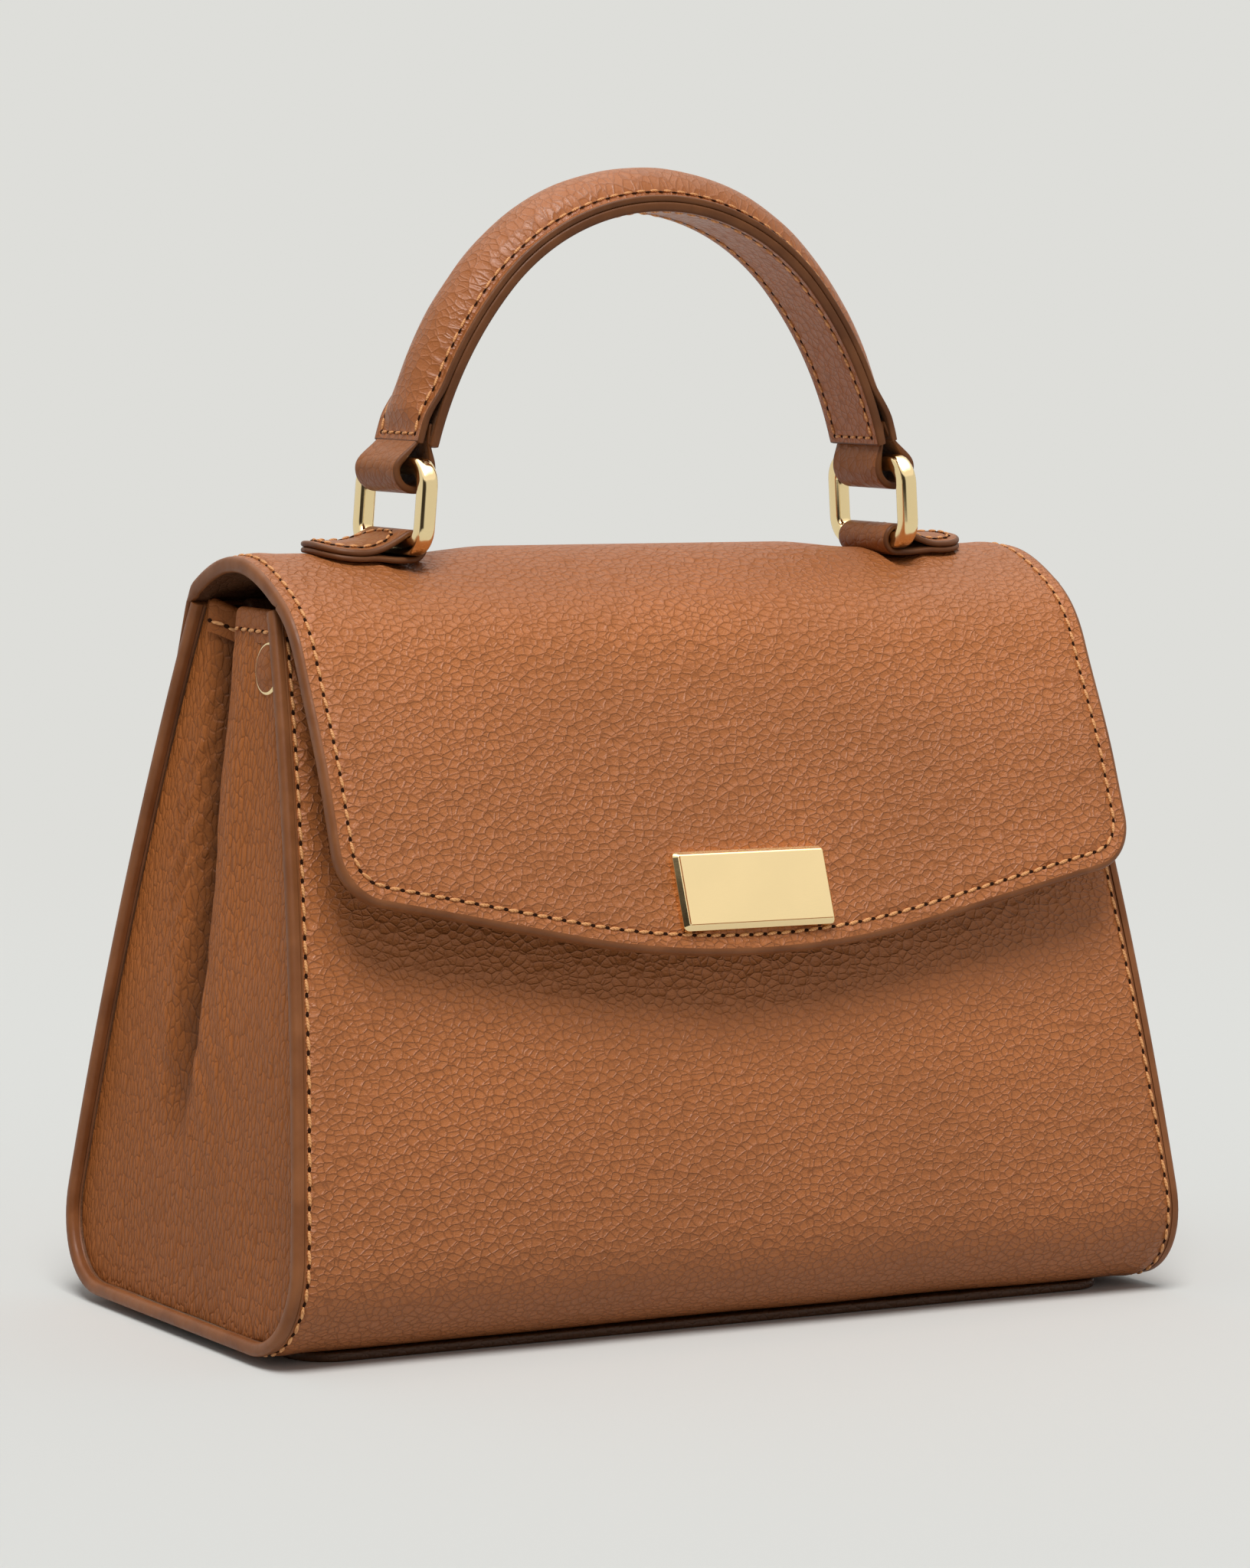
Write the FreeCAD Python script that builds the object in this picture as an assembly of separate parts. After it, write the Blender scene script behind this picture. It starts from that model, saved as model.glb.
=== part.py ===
import FreeCAD, Part
import math
import os
from FreeCAD import Placement, Rotation, Vector

# Top handle bag. X runs along the bag, the front faces -Y and Z is up.
# The origin is the middle of the base, on the floor. Sizes are in millimetres.

# Body outline
body_height = 191.0
base_half_width = 138.0
mouth_half_width = 120.5
mouth_half_depth = 24.5
shoulder_half_depth = 70.5
shoulder_height = 27.5
side_radius = 830.0
corner_radius = 23.0

# Leather and board
panel_thickness = 3.2
lining_thickness = 1.0
facing_height = 26.0
facing_thickness = 1.2
base_thickness = 2.5
base_end_inset = 13.5
base_half_depth = 54.0
base_corner = 12.0
panel_return = 20.0
sewn_gap = 0.1

# Painted welt round each side, with the gusset sunk behind it
welt_width = 3.6
welt_depth = 2.6
welt_round = 1.2
gusset_recess = 3.8
gusset_thickness = 1.8
pleat_depth = 15.0
pleat_front = 0.0
pleat_valley = 4.5
pleat_rear = 20.0
fold_round = 2.5
pleat_foot = 60.0
binding_height = 8.0
binding_thickness = 0.8
roll_radius = 3.0
roll_drop = 1.2

# Studs on the pleats
stud_radius = 7.0
stud_rim = 0.8
stud_rise = 1.9
stud_shank = 1.6
stud_inset = 8.0
stud_drop = 15.5
washer_radius = 5.0
washer_thickness = 1.0
hole_gap = 0.1

# Flap: arcs from the crease at the back over the crown to the straight fall
flap_half_width = 120.8
flap_leather = 2.6
flap_lining_thickness = 1.6
anchor_height = 28.0
anchor_thickness = 1.4
crease_lift = 2.2
rear_radius = 6.0
rear_turn = 42.2
crown_radius = 54.0
shoulder_bend = 30.0
fall_flare = 4.5
clasp_gap = 10.0
flap_drop = 71.5
flap_tip_drop = 23.2
flap_corner_round = 14.0
flap_tip_round = 280.0
moving_gap = 0.3

# Clasp
plate_width = 46.4
plate_height = 21.4
plate_thickness = 3.4
plate_bevel = 1.4
plate_corner = 2.0
plate_rise = 16.1
rivet_spacing = 30.0
rivet_radius = 1.2
rivet_head_radius = 2.4
rivet_head = 0.8
socket_radius = 9.0
socket_rise = 4.4
socket_bore = 5.0
socket_depth = 2.4
socket_shank = 2.2
clasp_washer_radius = 7.0
stud_disc_radius = 7.5
stud_pin_radius = 3.0
stud_pin_length = 1.8

# Rings, tabs and handle, a little in front of the middle along the top of the crown
carry_y = -4.0
ring_lean = 4.0
ring_height = 21.0
ring_depth = 35.0
ring_corner = 5.5
wire_radius = 2.5
bar_gap = 0.3
tab_width = 24.5
tab_reach = 24.6
tab_layer = 1.6
tab_end_round = 10.0
tab_fold_run = 11.0
handle_width = 25.6
handle_top_radius = 73.0
handle_top_turn = 49.5
handle_leg_radius = 115.5
handle_leg_turn = 26.0
handle_thickness = 11.8
strap_thickness = 2.6
flange_thickness = 1.8
core_width = 18.0
core_height = 7.4
tongue_turn = 4.0
loop_width = 23.0
loop_leather = 2.0
loop_bore = 4.25
loop_drop = 1.0
loop_side = 0.75
neck_run = 1.0
neck_bend = 13.0

LONG = 2 * (base_half_width + body_height)
X_AXIS = Vector(1, 0, 0)
Y_AXIS = Vector(0, 1, 0)
Z_AXIS = Vector(0, 0, 1)
ORIGIN = Vector(0, 0, 0)


def yz(y, z):
    return Vector(0, y, z)


def xz(x, z):
    return Vector(x, 0, z)


def line(a, b):
    return Part.makeLine(a, b)


def arc(a, b, c):
    return Part.Arc(a, b, c).toShape()


def polygon(points):
    return Part.Face(Part.makePolygon(points + [points[0]]))


def along_x(edges, half):
    face = Part.Face(Part.Wire(edges))
    face.translate(Vector(-half, 0, 0))
    return face.extrude(Vector(2 * half, 0, 0))


def along_y(face, half):
    moved = face.copy()
    moved.translate(Vector(0, -half, 0))
    return moved.extrude(Vector(0, 2 * half, 0))


def to_front(shape):
    return shape.mirror(ORIGIN, Y_AXIS)


def to_left(shape):
    return shape.mirror(ORIGIN, X_AXIS)


def half_width(z):
    return base_half_width + (mouth_half_width - base_half_width) * z / body_height


# The side of the body is a large arc, a corner arc and the flat base.
# It is worked out for the back half; an inset of d moves it inward by d.
chord = Vector(0, shoulder_half_depth - mouth_half_depth, shoulder_height - body_height)
middle_y = (mouth_half_depth + shoulder_half_depth) / 2
middle_z = (body_height + shoulder_height) / 2
reach = math.sqrt(side_radius ** 2 - chord.Length ** 2 / 4)
side_y = middle_y + reach * chord.z / chord.Length
side_z = middle_z - reach * chord.y / chord.Length
corner_z = base_thickness + corner_radius
corner_y = side_y + math.sqrt((side_radius - corner_radius) ** 2 - (corner_z - side_z) ** 2)
corner_angle = math.atan2(corner_z - side_z, corner_y - side_y)


def side_angle(z, d):
    return math.asin((z - side_z) / (side_radius - d))


def side_point(angle, d):
    r = side_radius - d
    return yz(side_y + r * math.cos(angle), side_z + r * math.sin(angle))


def half_depth(z, d):
    return side_point(side_angle(z, d), d).y


def corner_point(angle, d):
    r = corner_radius - d
    return yz(corner_y + r * math.cos(angle), corner_z + r * math.sin(angle))


def side_edges(d, z_top, y_end):
    top = side_angle(z_top, d)
    bend = (corner_angle - math.pi / 2) / 2
    foot = yz(corner_y, base_thickness + d)
    wall = arc(side_point(top, d), side_point((top + corner_angle) / 2, d), side_point(corner_angle, d))
    corner = arc(side_point(corner_angle, d), corner_point(bend, d), foot)
    return [wall, corner, line(foot, yz(y_end, base_thickness + d))]


def wrap(d_out, d_in, z_top, y_end):
    top_out = yz(half_depth(z_top, d_out), z_top)
    top_in = yz(half_depth(z_top, d_in), z_top)
    end_out = yz(y_end, base_thickness + d_out)
    end_in = yz(y_end, base_thickness + d_in)
    ends = [line(top_out, top_in), line(end_out, end_in)]
    edges = side_edges(d_out, z_top, y_end) + side_edges(d_in, z_top, y_end) + ends
    return along_x(Part.__sortEdges__(edges), LONG)


def wall_strip(d_out, d_in, top_out, top_in, low_out, low_in):
    outer = arc(side_point(top_out, d_out), side_point((top_out + low_out) / 2, d_out),
                side_point(low_out, d_out))
    inner = arc(side_point(low_in, d_in), side_point((top_in + low_in) / 2, d_in),
                side_point(top_in, d_in))
    ends = [line(side_point(low_out, d_out), side_point(low_in, d_in)),
            line(side_point(top_in, d_in), side_point(top_out, d_out))]
    return along_x([outer, ends[0], inner, ends[1]], LONG)


def both_halves(half):
    return half.fuse(to_front(half)).removeSplitter()


def inside(d):
    z_top = body_height + corner_radius
    top = yz(half_depth(z_top, d), z_top)
    edges = side_edges(d, z_top, 0.0)
    edges.append(line(yz(0, base_thickness + d), yz(0, z_top)))
    edges.append(line(yz(0, z_top), top))
    return both_halves(along_x(Part.__sortEdges__(edges), LONG))


def between_sides(inset):
    low, high = -corner_radius, body_height + corner_radius
    points = []
    for side, z in ((-1, low), (1, low), (1, high), (-1, high)):
        points.append(xz(side * (half_width(z) - inset), z))
    return along_y(polygon(points), LONG)


def slab(z_low, z_high):
    return Part.makeBox(2 * LONG, 2 * LONG, z_high - z_low, Vector(-LONG, -LONG, z_low))


def strip(half):
    return Part.makeBox(2 * half, 2 * LONG, 2 * LONG, Vector(-half, -LONG, -LONG))


def disc(radius, low, high):
    return Part.makeCylinder(radius, high - low, Vector(0, 0, low))


# Front and back panel turn under the base; the board fills the space between them.
panel_span = between_sides(welt_depth)
panel_end = corner_y - panel_return
panel = wrap(0.0, panel_thickness, body_height, panel_end)
back_panel = panel.common(panel_span)
front_panel = to_front(back_panel)

base_half_length = half_width(0.0) - base_end_inset
base_panel = Part.makeBox(2 * base_half_length, 2 * base_half_depth, base_thickness,
                          Vector(-base_half_length, -base_half_depth, 0))
upright = [e for e in base_panel.Edges if abs(e.tangentAt(e.FirstParameter).z) > 0.9]
base_panel = base_panel.makeFillet(base_corner, upright)

board_half_depth = panel_end - sewn_gap
base_stiffener = Part.makeBox(2 * base_half_width, 2 * board_half_depth, panel_thickness,
                              Vector(-base_half_width, -board_half_depth, base_thickness))
base_stiffener = base_stiffener.common(between_sides(welt_depth + sewn_gap))

# The lining is one sheet from facing to facing, and stops short of the gussets.
lining_span = between_sides(gusset_recess + gusset_thickness + moving_gap)
lining_top = body_height - facing_height
lining_out = panel_thickness + sewn_gap
lining_half = wrap(lining_out, lining_out + lining_thickness, lining_top - sewn_gap, 0.0)
lining = both_halves(lining_half).common(lining_span)

facing_in = lining_out + facing_thickness
facing = wall_strip(lining_out, facing_in,
                    side_angle(body_height, lining_out), side_angle(body_height, facing_in),
                    side_angle(lining_top, lining_out), side_angle(lining_top, facing_in))
facing_span = between_sides(gusset_recess + gusset_thickness + binding_thickness + moving_gap)
back_mouth_facing = facing.common(facing_span)
front_mouth_facing = to_front(back_mouth_facing)

# Rolled edge along the back of the mouth, sewn to the facing.
roll_angle = side_angle(body_height - roll_drop, facing_in)
roll_centre = side_point(roll_angle, facing_in + roll_radius + sewn_gap)
roll_half = half_width(body_height) - gusset_recess - gusset_thickness - pleat_depth / 2
mouth_roll = Part.makeCylinder(roll_radius, 2 * roll_half, Vector(-roll_half, roll_centre.y, roll_centre.z), X_AXIS)

# Painted welts cap the side edges of the panels and the base turn.
welt_half = wrap(0.0, welt_width, body_height, 0.0)
welt_band = both_halves(welt_half).common(between_sides(0.0)).cut(panel_span)
right_edge_welt = max(welt_band.Solids, key=lambda s: s.CenterOfMass.x)


def on_outer_plane(edge):
    for vertex in edge.Vertexes:
        if abs(vertex.X - half_width(vertex.Z)) > 0.01:
            return False
    return edge.Length > 2 * welt_width


rim = [e for e in right_edge_welt.Edges if on_outer_plane(e)]
right_edge_welt = right_edge_welt.makeFillet(welt_round, rim)
left_edge_welt = to_left(right_edge_welt)


# Gusset: a sheet whose pleat deepens from the foot to the mouth.
def pleat_poles(z, shift):
    depth = pleat_depth * max(0.0, z - pleat_foot) / (body_height - pleat_foot)
    wide = shoulder_half_depth + corner_radius
    rows = [(-wide, 0.0), (-shoulder_half_depth, 0.0), (-mouth_half_depth, 0.0),
            (pleat_front - 2 * fold_round, 0.0), (pleat_front, 0.0),
            (pleat_valley - fold_round, depth * 0.9), (pleat_valley, depth),
            (pleat_valley + fold_round, depth * 0.95), (pleat_rear, 0.0),
            (mouth_half_depth, 0.0), (shoulder_half_depth, 0.0), (wide, 0.0)]
    poles = []
    for i, (y, u) in enumerate(rows):
        before = rows[max(i - 1, 0)]
        after = rows[min(i + 1, len(rows) - 1)]
        run = math.hypot(after[0] - before[0], after[1] - before[1])
        normal_y = -(after[1] - before[1]) / run
        normal_u = (after[0] - before[0]) / run
        x = half_width(z) - gusset_recess - (u + shift * normal_u)
        poles.append(Vector(x, y + shift * normal_y, z))
    return poles


def pleat_wire(z, outer, inner):
    a = pleat_poles(z, outer)
    b = pleat_poles(z, inner)
    curves = []
    for poles in (a, b):
        curve = Part.BSplineCurve()
        curve.buildFromPoles(poles, False, 2)
        curves.append(curve.toShape())
    return Part.Wire([curves[0], line(a[-1], b[-1]), curves[1], line(b[0], a[0])])


def pleat_sheet(outer, inner):
    levels = (-corner_radius, pleat_foot, body_height + corner_radius)
    return Part.makeLoft([pleat_wire(z, outer, inner) for z in levels], True, True)


gusset_sheet = pleat_sheet(0.0, gusset_thickness).common(inside(panel_thickness + sewn_gap))
right_gusset = gusset_sheet.common(slab(0.0, body_height))
binding_sheet = pleat_sheet(-binding_thickness, gusset_thickness + binding_thickness)
binding_band = binding_sheet.common(inside(facing_in + sewn_gap))
binding_band = binding_band.common(slab(body_height - binding_height, body_height + binding_thickness))
right_gusset_binding = binding_band.cut(right_gusset)

# Pleat stud: a domed cap with a shank through the gusset into a washer.
side_lean = math.degrees(math.atan2(base_half_width - mouth_half_width, body_height))
stud_z = body_height - stud_drop
stud_y = stud_inset + panel_thickness - half_depth(stud_z, 0.0)
stud_place = Placement(Vector(half_width(stud_z) - gusset_recess, stud_y, stud_z),
                       Rotation(Y_AXIS, 90.0 - side_lean))
shank_end = -gusset_thickness - washer_thickness
dome_rise = stud_rise - stud_rim
dome_radius = (stud_radius ** 2 + dome_rise ** 2) / (2 * dome_rise)
dome = Part.makeSphere(dome_radius, xz(0, stud_rise - dome_radius))
right_pleat_stud = disc(stud_radius, 0.0, stud_rise).common(dome)
right_pleat_stud = right_pleat_stud.fuse(disc(stud_shank, shank_end, 0.0)).removeSplitter()
stud_washer = disc(washer_radius, shank_end, -gusset_thickness)
stud_washer = stud_washer.cut(disc(stud_shank + hole_gap, shank_end - 1, 1))
stud_hole = disc(stud_shank + hole_gap, 2 * shank_end, gusset_recess)
for piece in (right_pleat_stud, stud_washer, stud_hole):
    piece.Placement = stud_place
right_gusset = right_gusset.cut(stud_hole)
right_stud_washer = stud_washer.cut(right_gusset)
left_gusset = to_left(right_gusset)
left_gusset_binding = to_left(right_gusset_binding)
left_pleat_stud = to_left(right_pleat_stud)
pleat_stud_washers = Part.makeCompound([right_stud_washer, to_left(right_stud_washer)])

# Flap: the profile is walked from the crease as arcs and one straight fall.
# The fall stands off the front panel by the clasp's gap at the height of the clasp,
# and the crown turns as far as the bend at the shoulder needs to meet it.
flap_thickness = flap_leather + flap_lining_thickness
flap_corner_height = body_height - flap_drop
flap_tip_height = flap_corner_height - flap_tip_drop
clasp_height = flap_tip_height + plate_rise
panel_angle = side_angle(clasp_height, 0.0)
panel_lean = math.degrees(panel_angle)
fall_lean = panel_lean + fall_flare
crease_angle = side_angle(body_height + crease_lift, -anchor_thickness)
crease = side_point(crease_angle, -anchor_thickness)


def heading(angle):
    return yz(math.cos(angle), math.sin(angle))


crown_start = crease_angle + math.radians(rear_turn)
rear_centre = crease - heading(crease_angle) * rear_radius
crown_centre = rear_centre - heading(crown_start) * (crown_radius - rear_radius)
fall_angle = math.pi - math.radians(fall_lean)
fall_out = heading(fall_angle)
clasp_seat = yz(-half_depth(clasp_height, 0.0), clasp_height)
fall_point = clasp_seat + fall_out * (clasp_gap + flap_thickness)
bend_reach = fall_out.dot(fall_point) - shoulder_bend - fall_out.dot(crown_centre)
crown_end = fall_angle - math.acos(bend_reach / (crown_radius - shoulder_bend))
bend_centre = crown_centre + heading(crown_end) * (crown_radius - shoulder_bend)
flap_bends = ((rear_centre, rear_radius, crease_angle, crown_start),
              (crown_centre, crown_radius, crown_start, crown_end),
              (bend_centre, shoulder_bend, crown_end, fall_angle))
crown_top = crown_centre.z + crown_radius


def flap_walk(d):
    start = crease - heading(crease_angle) * d
    edges = []
    for centre, radius, begin, end in flap_bends:
        points = [centre + heading(a) * (radius - d) for a in (begin, (begin + end) / 2, end)]
        edges.append(arc(points[0], points[1], points[2]))
    fall_top = bend_centre + fall_out * (shoulder_bend - d)
    fall_end = fall_top + yz(-math.sin(fall_angle), math.cos(fall_angle)) * body_height
    edges.append(line(fall_top, fall_end))
    return edges, start, fall_end


def flap_layer(d_out, d_in):
    outer, start_out, end_out = flap_walk(d_out)
    inner, start_in, end_in = flap_walk(d_in)
    edges = outer + inner + [line(start_out, start_in), line(end_out, end_in)]
    return along_x(Part.__sortEdges__(edges), flap_half_width)


tip = xz(0, flap_tip_height)
flap_points = [xz(-flap_half_width, flap_corner_height), tip, xz(flap_half_width, flap_corner_height),
               xz(flap_half_width, LONG), xz(-flap_half_width, LONG)]
flap_cut = along_y(polygon(flap_points), LONG)


def upright_edges(shape, x, z):
    found = []
    for edge in shape.Edges:
        a = edge.Vertexes[0].Point
        if abs(a.x - x) < 0.01 and abs(a.z - z) < 0.01 and edge.Length > LONG:
            found.append(edge)
    return found


flap_corners = upright_edges(flap_cut, -flap_half_width, flap_corner_height)
flap_corners += upright_edges(flap_cut, flap_half_width, flap_corner_height)
flap_cut = flap_cut.makeFillet(flap_corner_round, flap_corners)
flap_cut = flap_cut.makeFillet(flap_tip_round, upright_edges(flap_cut, 0, flap_tip_height))
flap_outer = flap_layer(0.0, flap_leather).common(flap_cut)
flap_lining = flap_layer(flap_leather, flap_thickness).common(flap_cut)

gap_angle = moving_gap / side_radius
anchor_low = side_angle(body_height - anchor_height, 0.0)
flap_anchor = wall_strip(-anchor_thickness, 0.0, crease_angle - gap_angle, crease_angle - gap_angle,
                         anchor_low, anchor_low)
flap_anchor = flap_anchor.common(strip(flap_half_width))


# Pieces on the fall are made flat, with Z out of the leather, then laid on it.
def on_front(point, lean):
    return Placement(point, Rotation(X_AXIS, 90.0 - lean))


def block(width, height, low, high):
    return Part.makeBox(width, height, high - low, Vector(-width / 2, -height / 2, low))


plate_place = on_front(fall_point, fall_lean)
clasp_plate = block(plate_width, plate_height, 0.0, plate_thickness)
corners = [e for e in clasp_plate.Edges if abs(e.tangentAt(e.FirstParameter).z) > 0.9]
clasp_plate = clasp_plate.makeFillet(plate_corner, corners)
face_edges = [e for e in clasp_plate.Edges if min(v.Z for v in e.Vertexes) > plate_thickness - 0.01]
clasp_plate = clasp_plate.makeChamfer(plate_bevel, face_edges)
rivet_depth = plate_thickness / 2
rivets = []
rivet_holes = []
for side in (-1, 1):
    shaft = disc(rivet_radius, -flap_thickness, rivet_depth)
    head = disc(rivet_head_radius, -flap_thickness - rivet_head, -flap_thickness)
    hole = disc(rivet_radius + hole_gap, -flap_thickness - 1, rivet_depth)
    for group, piece in ((rivets, shaft.fuse(head).removeSplitter()), (rivet_holes, hole)):
        piece.translate(Vector(side * rivet_spacing / 2, 0, 0))
        piece.Placement = plate_place.multiply(piece.Placement)
        group.append(piece)
clasp_plate.Placement = plate_place
for hole in rivet_holes:
    clasp_plate = clasp_plate.cut(hole)
    flap_outer = flap_outer.cut(hole)
    flap_lining = flap_lining.cut(hole)
clasp_plate_rivets = Part.makeCompound(rivets)

# Clasp socket on the panel; the stud behind the flap comes down over it.
socket_place = on_front(clasp_seat, panel_lean)
washer_floor = -panel_thickness
clasp_socket = disc(socket_radius, 0.0, socket_rise)
lip = [e for e in clasp_socket.Edges if min(v.Z for v in e.Vertexes) > socket_rise - 0.01]
clasp_socket = clasp_socket.makeFillet(1.0, lip)
clasp_socket = clasp_socket.cut(disc(socket_bore, socket_rise - socket_depth, socket_rise + 1))
clasp_socket = clasp_socket.fuse(disc(socket_shank, washer_floor, 0.0)).removeSplitter()
clasp_socket_washer = disc(clasp_washer_radius, washer_floor, washer_floor + washer_thickness)
clasp_socket_washer = clasp_socket_washer.cut(disc(socket_shank + hole_gap, washer_floor - 1, 1))
socket_cut = disc(socket_shank + hole_gap, washer_floor - 1, 1)
socket_cut = socket_cut.fuse(disc(clasp_washer_radius + hole_gap, washer_floor - 1,
                                  washer_floor + washer_thickness + hole_gap))
for piece in (clasp_socket, clasp_socket_washer, socket_cut):
    piece.Placement = socket_place
clasp_socket = clasp_socket.cut(back_panel)
front_panel = front_panel.cut(socket_cut)

tilt_rise = socket_radius * math.sin(math.radians(fall_flare))
stud_disc = clasp_gap - socket_rise - tilt_rise - moving_gap
clasp_stud = disc(stud_disc_radius, -stud_disc, 0.0)
clasp_stud = clasp_stud.fuse(disc(stud_pin_radius, -stud_disc - stud_pin_length, 0.0)).removeSplitter()
clasp_stud.Placement = on_front(clasp_seat + fall_out * clasp_gap, fall_lean)

# The legs of the handle end above the rings, so its arcs give the place of both bars.
top_turn = math.radians(handle_top_turn)
end_turn = math.radians(handle_top_turn + handle_leg_turn)
eye_turn = end_turn + math.radians(neck_bend)
lean = math.radians(ring_lean)
leg_reach = handle_leg_radius - handle_top_radius
tongue_radius = handle_leg_radius - handle_thickness + strap_thickness + core_height / 2
eye_radius = loop_bore + loop_leather
fold_radius = wire_radius + bar_gap + tab_layer


def outward(turn):
    return xz(math.sin(turn), math.cos(turn))


def onward(turn):
    return xz(math.cos(turn), -math.sin(turn))


eye_from_arch = outward(end_turn) * tongue_radius - outward(top_turn) * leg_reach
eye_from_arch += onward(eye_turn) * (eye_radius + neck_run)
top_bar_x = eye_from_arch.x - loop_side
bar_x = top_bar_x + ring_height * math.sin(lean)
bar_z = crown_top + fold_radius
top_bar_z = bar_z + ring_height * math.cos(lean)
eye = xz(eye_from_arch.x, top_bar_z - loop_drop)
arch_centre = eye - eye_from_arch
leg_centre = arch_centre - outward(top_turn) * leg_reach

# Tabs: a strap folded round the ring's lower bar, its two layers sewn to the crown.
crown_edges, under_start, under_end = flap_walk(0.0)
under_crown = along_x(Part.__sortEdges__(crown_edges + [line(under_start, under_end)]), flap_half_width)
tab_top = crown_top + 2 * tab_layer
tab_deep = crown_top - tab_width / 2
tab_end = bar_x + tab_reach
fold_foot = xz(bar_x + tab_fold_run, tab_top)
fold_rise = tab_top - bar_z
touch_angle = math.atan2(fold_rise, tab_fold_run)
touch_angle += math.acos(fold_radius / math.hypot(tab_fold_run, fold_rise))


def on_fold(angle):
    return xz(bar_x + fold_radius * math.cos(angle), bar_z + fold_radius * math.sin(angle))


touch = on_fold(touch_angle)
fold_low = on_fold(1.5 * math.pi)
tab_edges = [arc(touch, on_fold((touch_angle + 1.5 * math.pi) / 2), fold_low),
             line(fold_low, xz(bar_x, tab_deep)),
             line(xz(bar_x, tab_deep), xz(tab_end, tab_deep)),
             line(xz(tab_end, tab_deep), xz(tab_end, tab_top)),
             line(xz(tab_end, tab_top), fold_foot),
             line(fold_foot, touch)]
right_tab = along_y(Part.Face(Part.Wire(tab_edges)), tab_width / 2)
tab_length = tab_reach + 2 * fold_radius
tab_plan = Part.makeBox(tab_length, tab_width, 2 * tab_width,
                        Vector(tab_end - tab_length, -tab_width / 2, tab_deep))
tab_corners = [e for e in tab_plan.Edges
               if abs(e.tangentAt(e.FirstParameter).z) > 0.9 and e.Vertexes[0].X > tab_end - 0.01]
tab_plan = tab_plan.makeFillet(tab_end_round, tab_corners)
bar_bore = Part.makeCylinder(wire_radius + bar_gap, 2 * tab_width, Vector(bar_x, -tab_width, bar_z), Y_AXIS)
right_tab = right_tab.common(tab_plan)
right_tab.translate(yz(carry_y, 0))
right_tab = right_tab.cut(under_crown).cut(bar_bore)
left_tab = to_left(right_tab)

# Ring: round wire bent to a rectangle with round corners, leaning inward.
ring_y = ring_depth / 2
ring_centres = ((1, 1), (-1, 1), (-1, 0), (1, 0))
ring_edges = []
here = yz(0, ring_height)
for turn, (side, level) in enumerate(ring_centres[1:] + ring_centres[:1]):
    bend = math.pi / 2 * (turn + 1)
    centre = yz(side * (ring_y - ring_corner), ring_height - ring_corner if level else ring_corner)
    points = [centre + heading(bend + math.pi / 4 * k) * ring_corner for k in (0, 1, 2)]
    ring_edges.append(line(here, points[0]))
    ring_edges.append(arc(points[0], points[1], points[2]))
    here = points[2]
ring_edges.append(line(here, yz(0, ring_height)))
wire_disc = Part.Wire(Part.makeCircle(wire_radius, yz(0, ring_height), Y_AXIS))
right_ring = Part.Wire(ring_edges).makePipeShell([wire_disc], True, False)
right_ring.rotate(ORIGIN, Y_AXIS, -ring_lean)
right_ring.translate(Vector(bar_x, carry_y, bar_z))
left_ring = to_left(right_ring)

# Handle: flat sections turned along the top arc and the two leg arcs.
handle_top = arch_centre.z + handle_top_radius
strap_z = handle_top - handle_thickness
seat_z = strap_z + strap_thickness
flange_z = seat_z + flange_thickness


def arch(edges, leg_turn):
    face = Part.Face(Part.Wire(edges))
    top = face.copy()
    top.rotate(arch_centre, Y_AXIS, -handle_top_turn)
    top = top.revolve(arch_centre, Y_AXIS, 2 * handle_top_turn)
    leg = leg_piece(edges, 0.0, leg_turn)
    return top.fuse([leg, to_left(leg)]).removeSplitter()


def leg_piece(edges, begin, turn):
    face = Part.Face(Part.Wire(edges))
    face.rotate(arch_centre, Y_AXIS, handle_top_turn)
    face.rotate(leg_centre, Y_AXIS, begin)
    return face.revolve(leg_centre, Y_AXIS, turn)


half = handle_width / 2
strap_section = [line(yz(-half, strap_z), yz(half, strap_z)), line(yz(half, strap_z), yz(half, seat_z)),
                 line(yz(half, seat_z), yz(-half, seat_z)), line(yz(-half, seat_z), yz(-half, strap_z))]
cover_section = [line(yz(-half, seat_z), yz(half, seat_z)), line(yz(half, seat_z), yz(half, flange_z)),
                 arc(yz(half, flange_z), yz(0, handle_top), yz(-half, flange_z)),
                 line(yz(-half, flange_z), yz(-half, seat_z))]
core_section = [line(yz(-core_width / 2, seat_z), yz(core_width / 2, seat_z)),
                arc(yz(core_width / 2, seat_z), yz(0, seat_z + core_height), yz(-core_width / 2, seat_z))]
handle_strap = arch(strap_section, handle_leg_turn)
handle_filling = arch(core_section, handle_leg_turn)
handle_cover = arch(cover_section, handle_leg_turn).cut(handle_filling)
handle_core = arch(core_section, handle_leg_turn - tongue_turn)

# Loop: a tongue sewn into the end of the handle, a neck, and an eye round the top bar.
tongue = leg_piece(core_section, handle_leg_turn - tongue_turn, tongue_turn)
low_end = leg_centre + outward(end_turn) * (tongue_radius - core_height / 2)
high_end = leg_centre + outward(end_turn) * (tongue_radius + core_height / 2)
across = outward(eye_turn) * eye_radius
neck = along_y(polygon([low_end, high_end, eye + across, eye - across]), loop_width / 2)
eye_disc = Part.makeCylinder(eye_radius, loop_width, eye - Y_AXIS * (loop_width / 2), Y_AXIS)
eye_bore = Part.makeCylinder(loop_bore, 2 * loop_width, eye - Y_AXIS * loop_width, Y_AXIS)
right_handle_loop = tongue.fuse([neck, eye_disc]).removeSplitter().cut(eye_bore)
for piece in (handle_strap, handle_cover, handle_core, right_handle_loop):
    piece.translate(yz(carry_y, 0))
left_handle_loop = to_left(right_handle_loop)

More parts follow.
